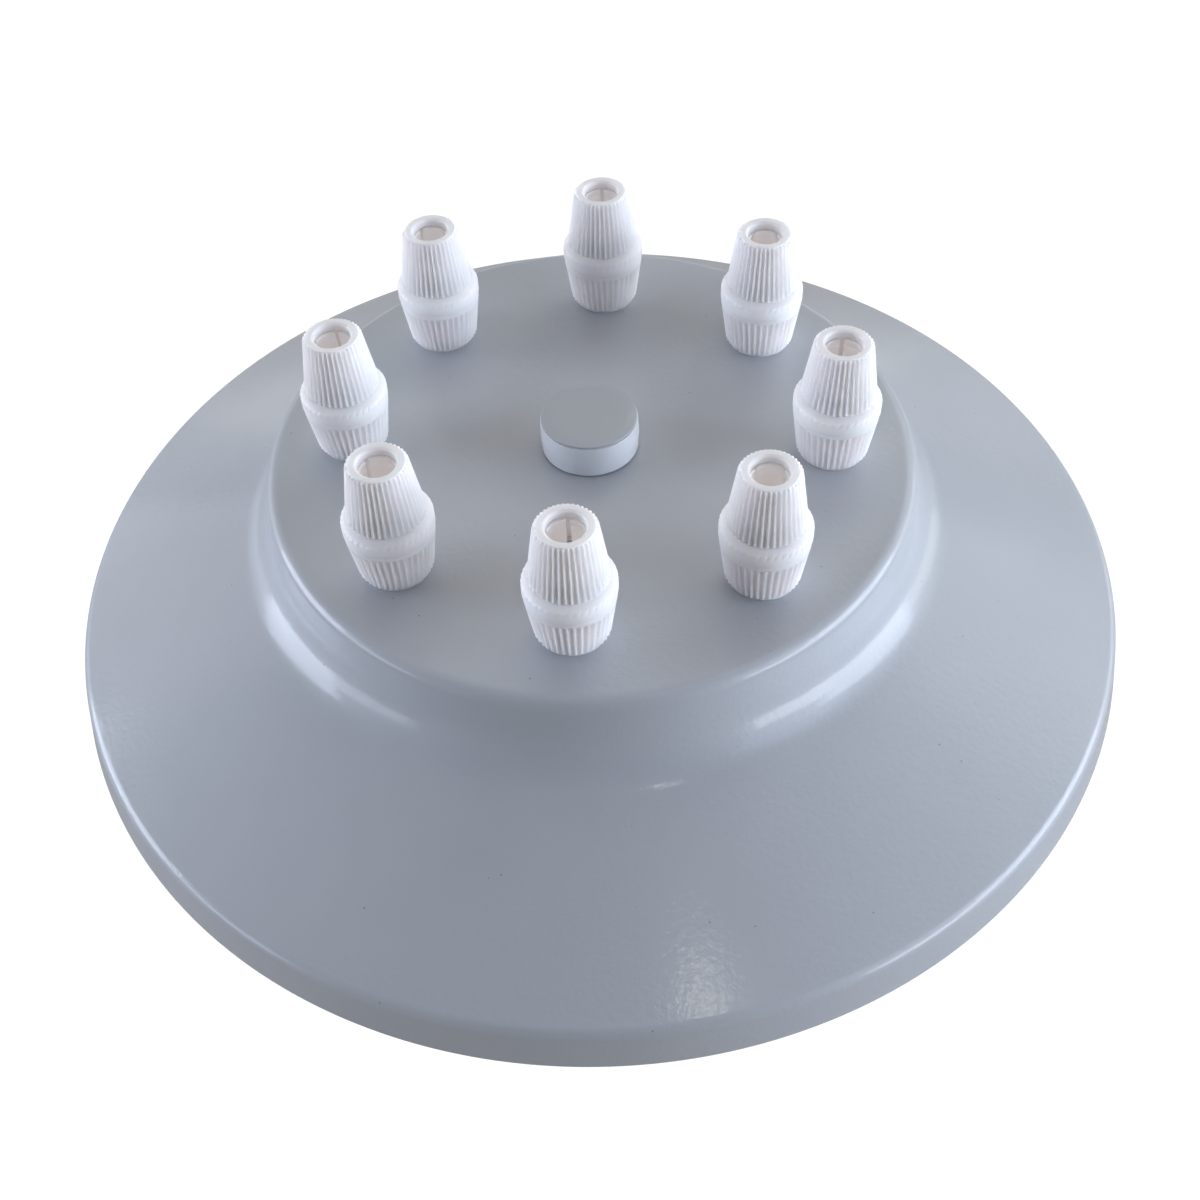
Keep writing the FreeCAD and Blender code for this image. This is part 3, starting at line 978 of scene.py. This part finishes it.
@dataclass
class Ribs:
    """Row of upright rounded ribs round a grip."""

    count: int = 40
    depth: float = 0.46
    phases: tuple[float, ...] = (0.0, 0.1, 0.2, 0.29, 0.5, 0.71, 0.8, 0.9)
    crest: float = 0.05
    foot: float = 0.29

    def angles(self) -> np.ndarray:
        """Angles in radians with eight to a rib, closer on its flanks."""
        return ((np.arange(self.count)[:, None] + np.array(self.phases)) * TURN / self.count).ravel()

    def coarse_angles(self) -> np.ndarray:
        """Angles in radians of the crests and of the grooves' middles."""
        return even_angles(2 * self.count)

    def shape(self, reach: Callable[[np.ndarray], np.ndarray]) -> Shape:
        """Radius of a ribbed wall whose rows give the grooves' floor.

        A rib rises from its foot to its crest by a smooth step of the distance to the nearest crest line.

        Args:
            reach: share of the depth that the ribs have at each height.

        Returns:
            The shape for a band.
        """

        def shape(radius: np.ndarray, height: np.ndarray, angle: np.ndarray) -> np.ndarray:
            """Radius at each height and angle.

            Args:
                radius: radius of the grooves' floor in each row.
                height: height of each row.
                angle: angle of each column in radians.

            Returns:
                Radius plus the rib's rise, rows by columns.
            """
            phase = angle * self.count / TURN
            away = np.abs(phase - np.round(phase))
            rise = np.clip((self.foot - away) / (self.foot - self.crest), 0.0, 1.0)
            return radius + self.depth * reach(height) * rise * rise * (3.0 - 2.0 * rise)

        return shape


@dataclass
class CordGrip:
    """Two-part screw cord grip of ribbed white plastic, with its jaws and the nut below the plate."""

    ribs: Ribs
    outlet_radius: float = 43.1
    plate_height: float = 38.0
    sheet: float = 1.0
    seat_radius: float = 5.7
    seat_height: float = 0.7
    foot_radius: float = 6.3
    waist_radius: float = 7.45
    base_top: float = 8.9
    waist_top: float = 9.9
    tip_rounding: float = 0.35
    tip_shares: tuple[float, ...] = (0.0, 0.08, 0.3, 0.62, 1.0)
    collar_radius: float = 7.6
    collar_rounding: float = 0.7
    collar_steps: int = 10
    joint_rounding: float = 0.3
    joint_width: float = 1.0
    stud_radius: float = 4.95
    stud_length: float = 11.0
    stud_pitch: float = 1.0
    thread_lead: float = 0.45
    thread_depth: float = 0.4
    stud_bore: float = 3.1
    bore_break: float = -2.0
    seat_floor: float = 6.5
    guide_radius: float = 3.9
    key_radius: float = 4.35
    key_half_angle: float = 8.85
    key_wall: float = 0.002
    keys: int = 4
    nipple_radius: float = 5.25
    nipple_top: float = 15.4
    cap_pitch: float = 1.5
    cap_thread_depth: float = 0.3
    cap_bore: float = 5.33
    cap_ledge: float = 15.9
    lip_radius: float = 4.4
    lip_top: float = 16.5
    groove_radius: float = 4.9
    groove_top: float = 17.7
    squeeze_bottom: float = 4.65
    squeeze_radius: float = 3.45
    squeeze_top: float = 22.5
    shoulder_bottom: float = 12.3
    shoulder_top: float = 13.05
    cone_radius: float = 6.65
    cone_top_radius: float = 5.05
    crown_radius: float = 4.55
    crown_bottom: float = 23.82
    crown_rounding: float = 0.16
    cap_top: float = 24.0
    mouth_radius: float = 3.15
    mouth_dish: float = 0.35
    mouth_rounding: float = 0.14
    mouth_steps: int = 3
    nick_depth: float = 0.13
    nick_middle: float = 12.1
    nick_height: float = 0.75
    nick_start: float = 0.9
    nick_slant: float = 2.0

    def keyed_bore(self, radius: np.ndarray, height: np.ndarray, angle: np.ndarray) -> np.ndarray:
        """Radius of the guide bore with its keyways, which sit midway between the quarter turns.

        Args:
            radius: plain radius of each row.
            height: height of each row.
            angle: angle of each column in radians.

        Returns:
            The keyway's radius inside its edges, and the plain one elsewhere.
        """
        quarter = TURN / self.keys
        away = np.abs(np.mod(angle, quarter) - quarter / 2)
        return np.where(away <= math.radians(self.key_half_angle), self.key_radius, radius + 0.0 * height)

    def keyed_angles(self) -> np.ndarray:
        """Coarse angles with the two beside each keyway's edge drawn together, for steep walls.

        Returns:
            Array of angles in radians, as many as the coarse ones.
        """
        angles = self.ribs.coarse_angles()
        quarter = TURN / self.keys
        offset = np.mod(angles, quarter) - quarter / 2
        step = TURN / len(angles)
        edge = math.radians(self.key_half_angle)
        place = np.round(offset / step)
        moved = np.where(np.abs(place) == 1, np.sign(offset) * edge, offset)
        moved = np.where(np.abs(place) == 2, np.sign(offset) * (edge + self.key_wall), moved)
        return angles + moved - offset

    def run_out(self, height: np.ndarray) -> np.ndarray:
        """Share of the grooves' depth that is left near the waist, where their floor rises to the crests."""
        return np.clip((self.base_top - height) / self.tip_rounding, 0.0, 1.0)

    def base_reach(self, height: np.ndarray) -> np.ndarray:
        """Share of the ribs' depth on the lower half: round tips at the foot, and a run-out at the waist.

        Args:
            height: height of each row.

        Returns:
            A quarter circle's rise at the foot times the share that is left near the waist.
        """
        tip = np.clip((height - self.seat_height) / self.tip_rounding, 0.0, 1.0)
        return np.sqrt(tip * (2.0 - tip)) * self.run_out(height)

    def cone_reach(self, height: np.ndarray) -> np.ndarray:
        """Share of the ribs' depth on the cap: they grow out of the shoulder and end in round tips.

        Args:
            height: height of each row.

        Returns:
            A straight rise at the shoulder times a quarter circle's fall at the top.
        """
        grow = np.clip((height - self.shoulder_top) / self.tip_rounding, 0.0, 1.0)
        tip = np.clip((self.crown_bottom - height) / self.tip_rounding, 0.0, 1.0)
        return grow * np.sqrt(tip * (2.0 - tip))

    def tipped(self, low: tuple[float, float], high: tuple[float, float]) -> np.ndarray:
        """Rows along a straight run, drawn together near both ends where the ribs' tips are rounded.

        Args:
            low: (radius, height) of the start.
            high: (radius, height) of the end.

        Returns:
            Array of (radius, height) rows.
        """
        near = self.tip_rounding * np.array(self.tip_shares)
        heights = np.concatenate([low[1] + near, [(low[1] + high[1]) / 2], high[1] - near[::-1]])
        share = (heights - low[1]) / (high[1] - low[1])
        return np.stack([low[0] + share * (high[0] - low[0]), heights], axis=1)

    def body(self) -> Surface:
        """Lower half: threaded hollow stud, seat ring, ribbed base, waist and threaded nipple.

        Returns:
            A closed surface round the Z axis, with the plate's face at height 0.
        """
        fine, coarse = self.ribs.angles(), self.ribs.coarse_angles()
        depth, lead = self.ribs.depth, self.thread_lead
        stud = screw_thread(self.stud_pitch, self.thread_depth, -self.stud_length, self.sheet, True)
        nipple = screw_thread(self.cap_pitch, self.thread_depth, self.waist_top, self.nipple_top, True)
        end = [(self.stud_bore, -self.stud_length), (self.stud_radius - lead, -self.stud_length)]
        seat = [(self.seat_radius, 0.0), (self.seat_radius, self.seat_height)]
        foot = (self.foot_radius - depth, self.seat_height)
        base = self.tipped(foot, (self.waist_radius - depth, self.base_top))
        base[:, 0] += depth * (1.0 - self.run_out(base[:, 1]))
        waist = outline(
            [
                (self.waist_radius, self.base_top),
                (self.waist_radius, self.waist_top, self.joint_rounding),
                (self.nipple_radius + self.joint_width, self.waist_top),
            ]
        )
        stud_rows = thread_rows(self.stud_radius, lead - self.stud_length, 0.0, self.stud_pitch)
        nipple_rows = thread_rows(self.nipple_radius, self.waist_top, self.nipple_top - lead, self.cap_pitch)
        tip = [(self.nipple_radius - lead, self.nipple_top), (self.key_radius + ROW_GAP, self.nipple_top)]
        guide = [(self.guide_radius, self.nipple_top), (self.guide_radius, self.seat_floor)]
        bore = [(self.stud_bore, self.seat_floor), (self.stud_bore, self.bore_break)]
        return Surface.turned(
            [
                Band(end, coarse),
                Band(stud_rows, coarse, stud),
                Band(seat, fine),
                Band(base, fine, self.ribs.shape(self.base_reach)),
                Band(waist, fine),
                Band([(self.nipple_radius, self.waist_top)], coarse),
                Band(nipple_rows, coarse, nipple),
                Band(tip, coarse),
                Band(guide, self.keyed_angles(), self.keyed_bore),
                Band(bore, coarse),
            ]
        )

    def nicks(self, radius: np.ndarray, height: np.ndarray, angle: np.ndarray) -> np.ndarray:
        """Radius of the cap's collar with a faint slanted nick below each rib.

        Args:
            radius: plain radius of each row.
            height: height of each row.
            angle: angle of each column in radians.

        Returns:
            Radius less a wave of the angle that leans with the height and fades out above and below.
        """
        rise = (height - self.nick_middle) / self.nick_height
        wave = np.cos(self.ribs.count * angle - self.nick_slant * rise)
        fade = np.clip(1.0 - np.abs(rise), 0.0, 1.0)
        return radius - self.nick_depth * fade * np.clip(wave, 0.0, 1.0)

    def cap(self) -> Surface:
        """Upper half: collar, ribbed cone and crown round the mouth, hollow for its thread and the jaws.

        Returns:
            A closed surface round the Z axis, with the plate's face at height 0.
        """
        fine, coarse = self.ribs.angles(), self.ribs.coarse_angles()
        depth = self.ribs.depth
        below = outline(
            [
                (self.nipple_radius + self.joint_width, self.waist_top),
                (self.collar_radius, self.waist_top, self.joint_rounding),
                (self.collar_radius, self.nick_middle - self.nick_height),
            ]
        )
        collar = outline(
            [
                (self.collar_radius, self.nick_middle - self.nick_start * self.nick_height),
                (self.collar_radius, self.shoulder_bottom, self.collar_rounding),
                (self.cone_radius, self.shoulder_top - ROW_GAP),
            ],
            self.collar_steps,
        )
        foot = (self.cone_radius - depth, self.shoulder_top)
        head = (self.cone_top_radius - depth, self.crown_bottom)
        cone = self.tipped(foot, head)
        dish = self.mouth_dish
        crown = outline(
            [
                (self.crown_radius, self.crown_bottom),
                (self.crown_radius, self.cap_top, self.crown_rounding),
                (self.mouth_radius + 3 * dish, self.cap_top),
            ]
        )
        inside = outline(
            [
                (self.mouth_radius + 2 * dish, self.cap_top),
                (self.mouth_radius + dish, self.cap_top, self.mouth_rounding),
                (self.mouth_radius, self.cap_top - dish, self.mouth_rounding),
                (self.mouth_radius, self.squeeze_top),
                (self.squeeze_radius, self.squeeze_top),
                (self.squeeze_bottom, self.groove_top),
                (self.groove_radius, self.groove_top),
                (self.groove_radius, self.lip_top),
                (self.lip_radius, self.lip_top),
                (self.lip_radius, self.cap_ledge),
                (self.cap_bore, self.cap_ledge),
            ],
            self.mouth_steps,
        )
        thread = screw_thread(self.cap_pitch, self.cap_thread_depth, self.waist_top, self.cap_ledge, False)
        bore = thread_rows(self.cap_bore, self.cap_ledge - ROW_GAP, self.waist_top, self.cap_pitch)
        return Surface.turned(
            [
                Band(below, fine),
                Band(collar, fine, self.nicks),
                Band(cone, fine, self.ribs.shape(self.cone_reach)),
                Band(crown, fine),
                Band(inside, coarse),
                Band(bore, coarse, thread),
            ]
        )

    def build(self, shop: Workshop, angles: list[float], nut: "HexNut") -> None:
        """Makes and dresses every grip.

        Args:
            shop: gives the finishes.
            angles: angle of each outlet in degrees.
            nut: the nut below the plate.
        """
        offset = (self.outlet_radius, 0.0, self.plate_height)
        body, cap = self.body(), self.cap()
        locked = nut.surface()
        # Jaw plastic with its painted glow.
        inner = JAW_PLASTIC.material()
        below = (self.outlet_radius, 0.0, self.plate_height - self.sheet - nut.height)
        for number, angle in enumerate(angles, 1):
            lower = body.placed(offset, angle).build(f"ribbed_base_{number}", Edge.SOFT)
            shop.fit(lower, Slot.GRIP_PLASTIC, f"grip_body_{number}")
            upper = cap.placed(offset, angle).build(f"ribbed_cap_{number}", Edge.SOFT)
            shop.fit(upper, Slot.GRIP_PLASTIC, f"grip_cap_{number}")
            jaws, name = f"grip_jaws_{number}", f"toothed_jaws_{number}"
            shop.softened(jaws, name, Slot.GRIP_PLASTIC, finish=inner)
            under = locked.placed(below, angle).build(f"nylon_nut_{number}", Edge.CRISP)
            shop.fit(under, Slot.NUT_PLASTIC, f"lock_nut_{number}")


@dataclass
class HexNut:
    """Hexagon nut with turned-off corners and a threaded bore."""

    flats: float = 14.0
    height: float = 4.0
    bore: float = 5.0
    pitch: float = 1.0
    depth: float = 0.3
    lead: float = 0.35
    angles: int = 72

    def surface(self) -> Surface:
        """The nut standing on height 0.

        The wall's radius is half the flats over the cosine of the angle to the nearest flat's middle. The
        cone that turns the corners off meets it half as high as it stands out of the inscribed circle.

        Returns:
            A closed surface.
        """
        angles = even_angles(self.angles)
        sixth = TURN / 6
        inner = self.flats / 2
        wall = inner / np.cos(np.mod(angles, sixth) - sixth / 2)
        bevel = (wall - inner) / 2
        reach = np.stack([np.full_like(wall, inner), wall, wall, np.full_like(wall, inner)])
        level = np.stack([np.zeros_like(wall), bevel, self.height - bevel, np.full_like(wall, self.height)])
        made = Surface()
        walls = made.add_points(np.stack([reach * np.cos(angles), reach * np.sin(angles), level], axis=2))
        thread = screw_thread(self.pitch, self.depth, 0.0, self.height, False)
        rows = thread_rows(self.bore, self.height - self.lead, self.lead, self.pitch)
        edge = self.bore + self.lead
        bands = [
            Band([(edge, self.height)], angles),
            Band(rows, angles, thread),
            Band([(edge, 0.0)], angles),
        ]
        rings = list(walls)
        for band in bands:
            rings.extend(made.add_points(band.points()))
        rings.append(walls[0])
        for low, high in zip(rings, rings[1:]):
            made.add_rings(low, high)
        return made


@dataclass
class CentreFixing:
    """Screw cap in the middle with its washer, the threaded tube under it and the tube's two nuts."""

    plate_height: float = 38.0
    cap_end_radius: float = 8.65
    cap_belly_radius: float = 8.82
    cap_belly_rounding: float = 9.0
    cap_height: float = 7.3
    cap_gap: float = 0.3
    rim_radius: float = 8.5
    rim_height: float = 0.55
    groove: float = 0.2
    edge_rounding: float = 0.25
    groove_rounding: float = 0.06
    flat_radius: float = 6.8
    crown_rounding: float = 5.0
    crown: float = 0.9
    cap_bore: float = 5.02
    cap_steps: int = 7
    washer_outer: float = 7.2
    washer_bevel: float = 0.3
    washer_rounding: float = 0.08
    washer_steps: int = 3
    washer_bore: float = 5.35
    washer_thickness: float = 1.0
    washer_clearance: float = 0.12
    tube_radius: float = 4.95
    tube_wall: float = 1.0
    tube_bottom: float = 5.0
    tube_top: float = 43.0
    pitch: float = 1.0
    thread_depth: float = 0.32
    lead: float = 0.45
    nut_height: float = 3.0
    upper_nut_bottom: float = 11.5
    lower_nut_bottom: float = 7.0
    angles: int = 160
    tube_angles: int = 80

    def cap(self) -> Surface:
        """Blind cap: skirt, fine groove, rim, rounded edge and flat crown, undercut for its washer.

        Returns:
            A closed surface.
        """
        bottom = self.plate_height + self.cap_gap
        top = self.plate_height + self.cap_height
        rim_bottom = top - self.rim_height
        recess_top = self.plate_height + self.washer_thickness
        recess = self.washer_outer + self.washer_clearance
        mouth = recess - self.washer_bevel * (self.washer_thickness - self.cap_gap) / self.washer_thickness
        crown_under = top - self.crown
        groove_bottom = rim_bottom - self.groove
        groove_radius = self.rim_radius - self.groove
        outside = outline(
            [
                (mouth, bottom),
                (self.cap_end_radius, bottom, self.edge_rounding),
                (self.cap_belly_radius, (bottom + groove_bottom) / 2, self.cap_belly_rounding),
                (self.cap_end_radius, groove_bottom, self.edge_rounding),
                (groove_radius, groove_bottom, self.groove_rounding),
                (groove_radius, rim_bottom, self.groove_rounding),
                (self.rim_radius, rim_bottom, self.groove_rounding),
                (self.rim_radius, (rim_bottom + top) / 2, self.edge_rounding),
                (self.flat_radius, top, self.crown_rounding),
                (0.0, top),
            ],
            self.cap_steps,
        )
        coarse = even_angles(self.tube_angles)
        thread = screw_thread(self.pitch, self.thread_depth, recess_top, crown_under, False)
        bore = thread_rows(self.cap_bore, crown_under - ROW_GAP, recess_top, self.pitch)
        return Surface.turned(
            [
                Band(outside, even_angles(self.angles)),
                Band([(0.0, crown_under), (self.cap_bore, crown_under)], coarse),
                Band(bore, coarse, thread),
                Band([(recess, recess_top)], coarse),
            ]
        )

    def washer(self) -> Surface:
        """Bevelled washer lying on the plate.

        Returns:
            A closed surface.
        """
        base, top = self.plate_height, self.plate_height + self.washer_thickness
        rows = outline(
            [
                (self.washer_bore, base),
                (self.washer_outer - self.washer_bevel, base, self.washer_rounding),
                (self.washer_outer, top, self.washer_rounding),
                (self.washer_bore, top),
            ],
            self.washer_steps,
        )
        return Surface.turned([Band(rows, even_angles(self.tube_angles))])

    def tube(self) -> Surface:
        """Hollow tube, threaded from end to end.

        Returns:
            A closed surface.
        """
        angles = even_angles(self.tube_angles)
        bottom, top, radius = self.tube_bottom, self.tube_top, self.tube_radius
        bore, end = radius - self.tube_wall, radius - self.lead
        thread = screw_thread(self.pitch, self.thread_depth, bottom, top, True)
        rows = thread_rows(radius, bottom + self.lead, top - self.lead, self.pitch)
        return Surface.turned(
            [
                Band([(bore, bottom), (end, bottom)], angles),
                Band(rows, angles, thread),
                Band([(end, top), (bore, top)], angles),
            ]
        )

    def build(self, shop: Workshop) -> None:
        """Makes and dresses the pieces.

        Args:
            shop: gives the finishes.
        """
        rim = (self.plate_height + self.cap_height - self.rim_height) * MM
        # The cap's coat is painted paler below its rim: painted bounce light from the plate round it.
        coat = PowderCoat(name="cap_powder_coat_painted_bounce", painted_bounce_below=rim).material()
        shop.fit(self.cap().build("coated_cap", Edge.CRISP), Slot.WHITE_COAT, "centre_cap", coat)
        shop.fit(self.washer().build("bevelled_washer", Edge.CRISP), Slot.WASHER_PLASTIC, "cap_washer")
        shop.fit(self.tube().build("rolled_tube", Edge.SOFT), Slot.ZINC_STEEL, "threaded_tube")
        nut = HexNut(height=self.nut_height).surface()
        bottoms = {"tube_nut_upper": self.upper_nut_bottom, "tube_nut_lower": self.lower_nut_bottom}
        for node, bottom in bottoms.items():
            made = nut.placed((0.0, 0.0, bottom), 0.0).build(f"steel_{node}", Edge.CRISP)
            shop.fit(made, Slot.ZINC_STEEL, node)


@dataclass
class WiringPlatform:
    """Folded bracket with its earth screw and the terminal block."""

    poles: int = 3
    sheet_bevel: float = 0.18
    small_bevel: float = 0.1

    def build(self, shop: Workshop) -> None:
        """Puts a softened copy of each piece in its place.

        Args:
            shop: gives the finishes.
        """
        shop.softened("ceiling_bracket", "folded_bracket", Slot.ZINC_STEEL, self.sheet_bevel)
        shop.softened("earth_washer", "cupped_washer", Slot.BRASS, self.small_bevel)
        shop.softened("earth_screw", "slotted_earth_screw", Slot.BRASS, self.small_bevel)
        shop.softened("terminal_block", "moulded_block", Slot.BLOCK_PLASTIC, self.sheet_bevel)
        shop.softened("terminal_screws", "clamping_screws", Slot.SCREW_STEEL)
        shop.softened("block_screw", "slotted_block_screw", Slot.SCREW_STEEL)
        for pole in range(1, self.poles + 1):
            shop.softened(f"terminal_sleeve_{pole}", f"bored_sleeve_{pole}", Slot.BRASS)


# Studio


def heading(azimuth: float, elevation: float) -> Vector:
    """Direction seen from the rose.

    Args:
        azimuth: degrees round the Z axis, where 0 is +Y and 90 is +X.
        elevation: degrees above the rim's plane.

    Returns:
        Vector of length 1: sine and cosine of the azimuth times the elevation's cosine, and its sine.
    """
    around, height = math.radians(azimuth), math.radians(elevation)
    flat = math.cos(height)
    return Vector((math.sin(around) * flat, math.cos(around) * flat, math.sin(height)))


@dataclass(frozen=True)
class Viewpoint:
    """Where the camera stands, fitted to the plate's outline and its outlets. Degrees and metres."""

    elevation: float = 49.35
    azimuth: float = 5.57
    roll: float = -2.76
    distance: float = 0.28577
    target: tuple[float, float] = (0.00097, -0.00424)
    lens: float = 43.25
    shift: float = -0.0008
    nearest: float = 0.01

    def build(self) -> None:
        """Makes the camera."""
        height, around, roll = (math.radians(v) for v in (self.elevation, self.azimuth, self.roll))
        flat = math.cos(height)
        back = Vector((math.sin(around) * flat, -math.cos(around) * flat, math.sin(height)))
        side = Vector((math.cos(around), math.sin(around), 0.0))
        top = back.cross(side)
        right = side * math.cos(roll) + top * math.sin(roll)
        up = top * math.cos(roll) - side * math.sin(roll)
        place = Vector((*self.target, 0.0)) + back * self.distance
        data = bpy.data.cameras.new("camera")
        data.lens = self.lens
        data.shift_x = data.shift_y = self.shift
        data.clip_start = self.nearest
        camera = bpy.data.objects.new("camera", data)
        bpy.context.scene.collection.objects.link(camera)
        turned = Matrix((right, up, back)).transposed()
        camera.matrix_world = Matrix.Translation(place) @ turned.to_4x4()
        bpy.context.scene.camera = camera


@dataclass(frozen=True)
class Window:
    """Soft rectangular light: where it stands and how wide and high it looks from the rose, in degrees."""

    name: str
    azimuth: float
    elevation: float
    width: float
    height: float
    radiance: float
    colour: Colour
    distance: float = 1.6

    def build(self) -> None:
        """Makes the light, facing the rose, as bright as its radiance asks."""
        away = heading(self.azimuth, self.elevation)
        data = bpy.data.lights.new(self.name, "AREA")
        data.shape = "RECTANGLE"
        data.size = 2.0 * self.distance * math.tan(math.radians(self.width) / 2)
        data.size_y = 2.0 * self.distance * math.tan(math.radians(self.height) / 2)
        data.energy = self.radiance * math.pi * data.size * data.size_y
        data.color = self.colour
        light = bpy.data.objects.new(self.name, data)
        bpy.context.scene.collection.objects.link(light)
        light.location = away * self.distance
        light.rotation_mode = "QUATERNION"
        light.rotation_quaternion = away.to_track_quat("Z", "Y")
        light.visible_camera = False


# Name, azimuth, elevation, width, height, radiance and colour, fitted to the tones of the plate.
WINDOWS = (
    Window("tent_right", 92.0, 10.5, 34.0, 31.0, 8.2, (0.75, 0.85, 1.0)),
    Window("tent_right_front", 121.0, 5.0, 24.0, 18.0, 8.0, (0.88, 0.92, 1.0)),
    Window("tent_right_back", 62.0, 5.0, 26.0, 18.0, 2.2, (0.95, 0.98, 0.9)),
    Window("tent_left", -90.0, 10.5, 30.0, 31.0, 8.3, (0.76, 0.85, 1.0)),
    Window("tent_left_front", -118.0, 4.0, 26.0, 16.0, 4.3, (0.74, 0.81, 1.0)),
    Window("tent_left_back", -62.0, 5.0, 26.0, 18.0, 1.35, (0.85, 0.9, 1.0)),
    Window("tent_back", -8.0, 12.0, 62.0, 28.0, 0.6, (1.0, 0.97, 0.88)),
    Window("low_back", -2.0, 5.0, 94.0, 14.0, 0.6, (0.87, 0.91, 1.0)),
    Window("high_back_right", 30.0, 34.0, 26.0, 17.0, 2.3, (0.93, 1.0, 0.91)),
    Window("high_back_left", -30.0, 34.0, 26.0, 17.0, 0.6, (0.8, 1.0, 0.93)),
    Window("high_right", 60.0, 30.0, 26.0, 24.0, 1.1, (0.97, 0.95, 1.0)),
    Window("high_left", -60.0, 28.0, 26.0, 28.0, 0.75, (1.0, 0.97, 0.95)),
    Window("high_right_front", 120.0, 30.0, 28.0, 24.0, 1.9, (0.62, 0.76, 1.0)),
    Window("top_front", 180.0, 62.0, 40.0, 24.0, 0.22, (0.9, 1.0, 0.7)),
    Window("top_left", -90.0, 52.0, 40.0, 24.0, 0.45, (0.8, 0.88, 1.0)),
    Window("top_back", 0.0, 52.0, 40.0, 24.0, 0.5, (0.9, 1.0, 0.85)),
    Window("ceiling", 0.0, 72.0, 66.0, 60.0, 0.56, (1.0, 0.89, 0.9)),
    Window("ceiling_lamp", 152.5, 62.0, 5.0, 3.2, 12.5, (1.0, 0.95, 0.88)),
)


@dataclass(frozen=True)
class Studio:
    """Pale floor, pale backdrop and soft light from windows."""

    sky: Colour = (0.005, 0.005, 0.005)
    ground: Colour = (0.28, 0.25, 0.21)
    horizon: float = 0.25
    paper: float = 1.05
    reach: float = 6.0
    around: int = 64
    dome_rows: int = 17

    def paper_material(self) -> bpy.types.Material:
        """Plain white that glows enough to stay pale in any shadow.

        Returns:
            The material.
        """
        graph = ShaderGraph("white_paper")
        graph.shader(
            Base_Color=(0.0, 0.0, 0.0, 1.0),
            Roughness=1.0,
            Specular_IOR_Level=0.0,
            Emission_Color=(1.0, 1.0, 1.0, 1.0),
            Emission_Strength=self.paper,
        )
        return graph.material

    def backdrop(self) -> None:
        """Makes the floor and a dome over it, which only the camera sees."""
        paper = self.paper_material()
        ring = even_angles(self.around)
        rise = np.linspace(0.0, math.pi / 2, self.dome_rows)
        dome = np.stack([np.cos(rise), np.sin(rise)], axis=1) * self.reach / MM
        for name, rows in (("floor", [(self.reach / MM, 0.0), (0.0, 0.0)]), ("backdrop", dome)):
            made = Surface.turned([Band(rows, ring)], closed=False).build(name, Edge.SOFT)
            made.data.materials.append(paper)
            made.visible_diffuse = made.visible_glossy = False
            made.visible_shadow = made.visible_transmission = False

    def world(self) -> None:
        """Makes the even light all round, darker from below."""
        world = bpy.data.worlds.new("room")
        bpy.context.scene.world = world
        world.use_nodes = True
        nodes, links = world.node_tree.nodes, world.node_tree.links
        nodes.clear()
        output = nodes.new("ShaderNodeOutputWorld")
        light = nodes.new("ShaderNodeBackground")
        direction = nodes.new("ShaderNodeTexCoord")
        split = nodes.new("ShaderNodeSeparateXYZ")
        ramp = nodes.new("ShaderNodeValToRGB")
        shift = nodes.new("ShaderNodeMapRange")
        shift.inputs["From Min"].default_value = -self.horizon
        shift.inputs["From Max"].default_value = self.horizon
        links.new(direction.outputs["Generated"], split.inputs[0])
        links.new(split.outputs["Z"], shift.inputs["Value"])
        links.new(shift.outputs["Result"], ramp.inputs[0])
        ramp.color_ramp.elements[0].color = (*self.ground, 1.0)
        ramp.color_ramp.elements[1].color = (*self.sky, 1.0)
        links.new(ramp.outputs["Color"], light.inputs["Color"])
        links.new(light.outputs[0], output.inputs["Surface"])

    def build(self) -> None:
        """Makes the backdrop, the world and the windows."""
        self.backdrop()
        self.world()
        for window in WINDOWS:
            window.build()
        view = bpy.context.scene.view_settings
        view.view_transform = "Standard"
        view.look = "None"


def main() -> None:
    """Builds the rose piece by piece, then the studio."""
    logging.basicConfig(level=logging.INFO, format="%(message)s")
    shop = Workshop()
    plate = RosePlate()
    plate.build(shop)
    CordGrip(Ribs()).build(shop, plate.outlet_angles(), HexNut())
    CentreFixing().build(shop)
    WiringPlatform().build(shop)
    Viewpoint().build()
    Studio().build()


if __name__ == "__main__":
    main()
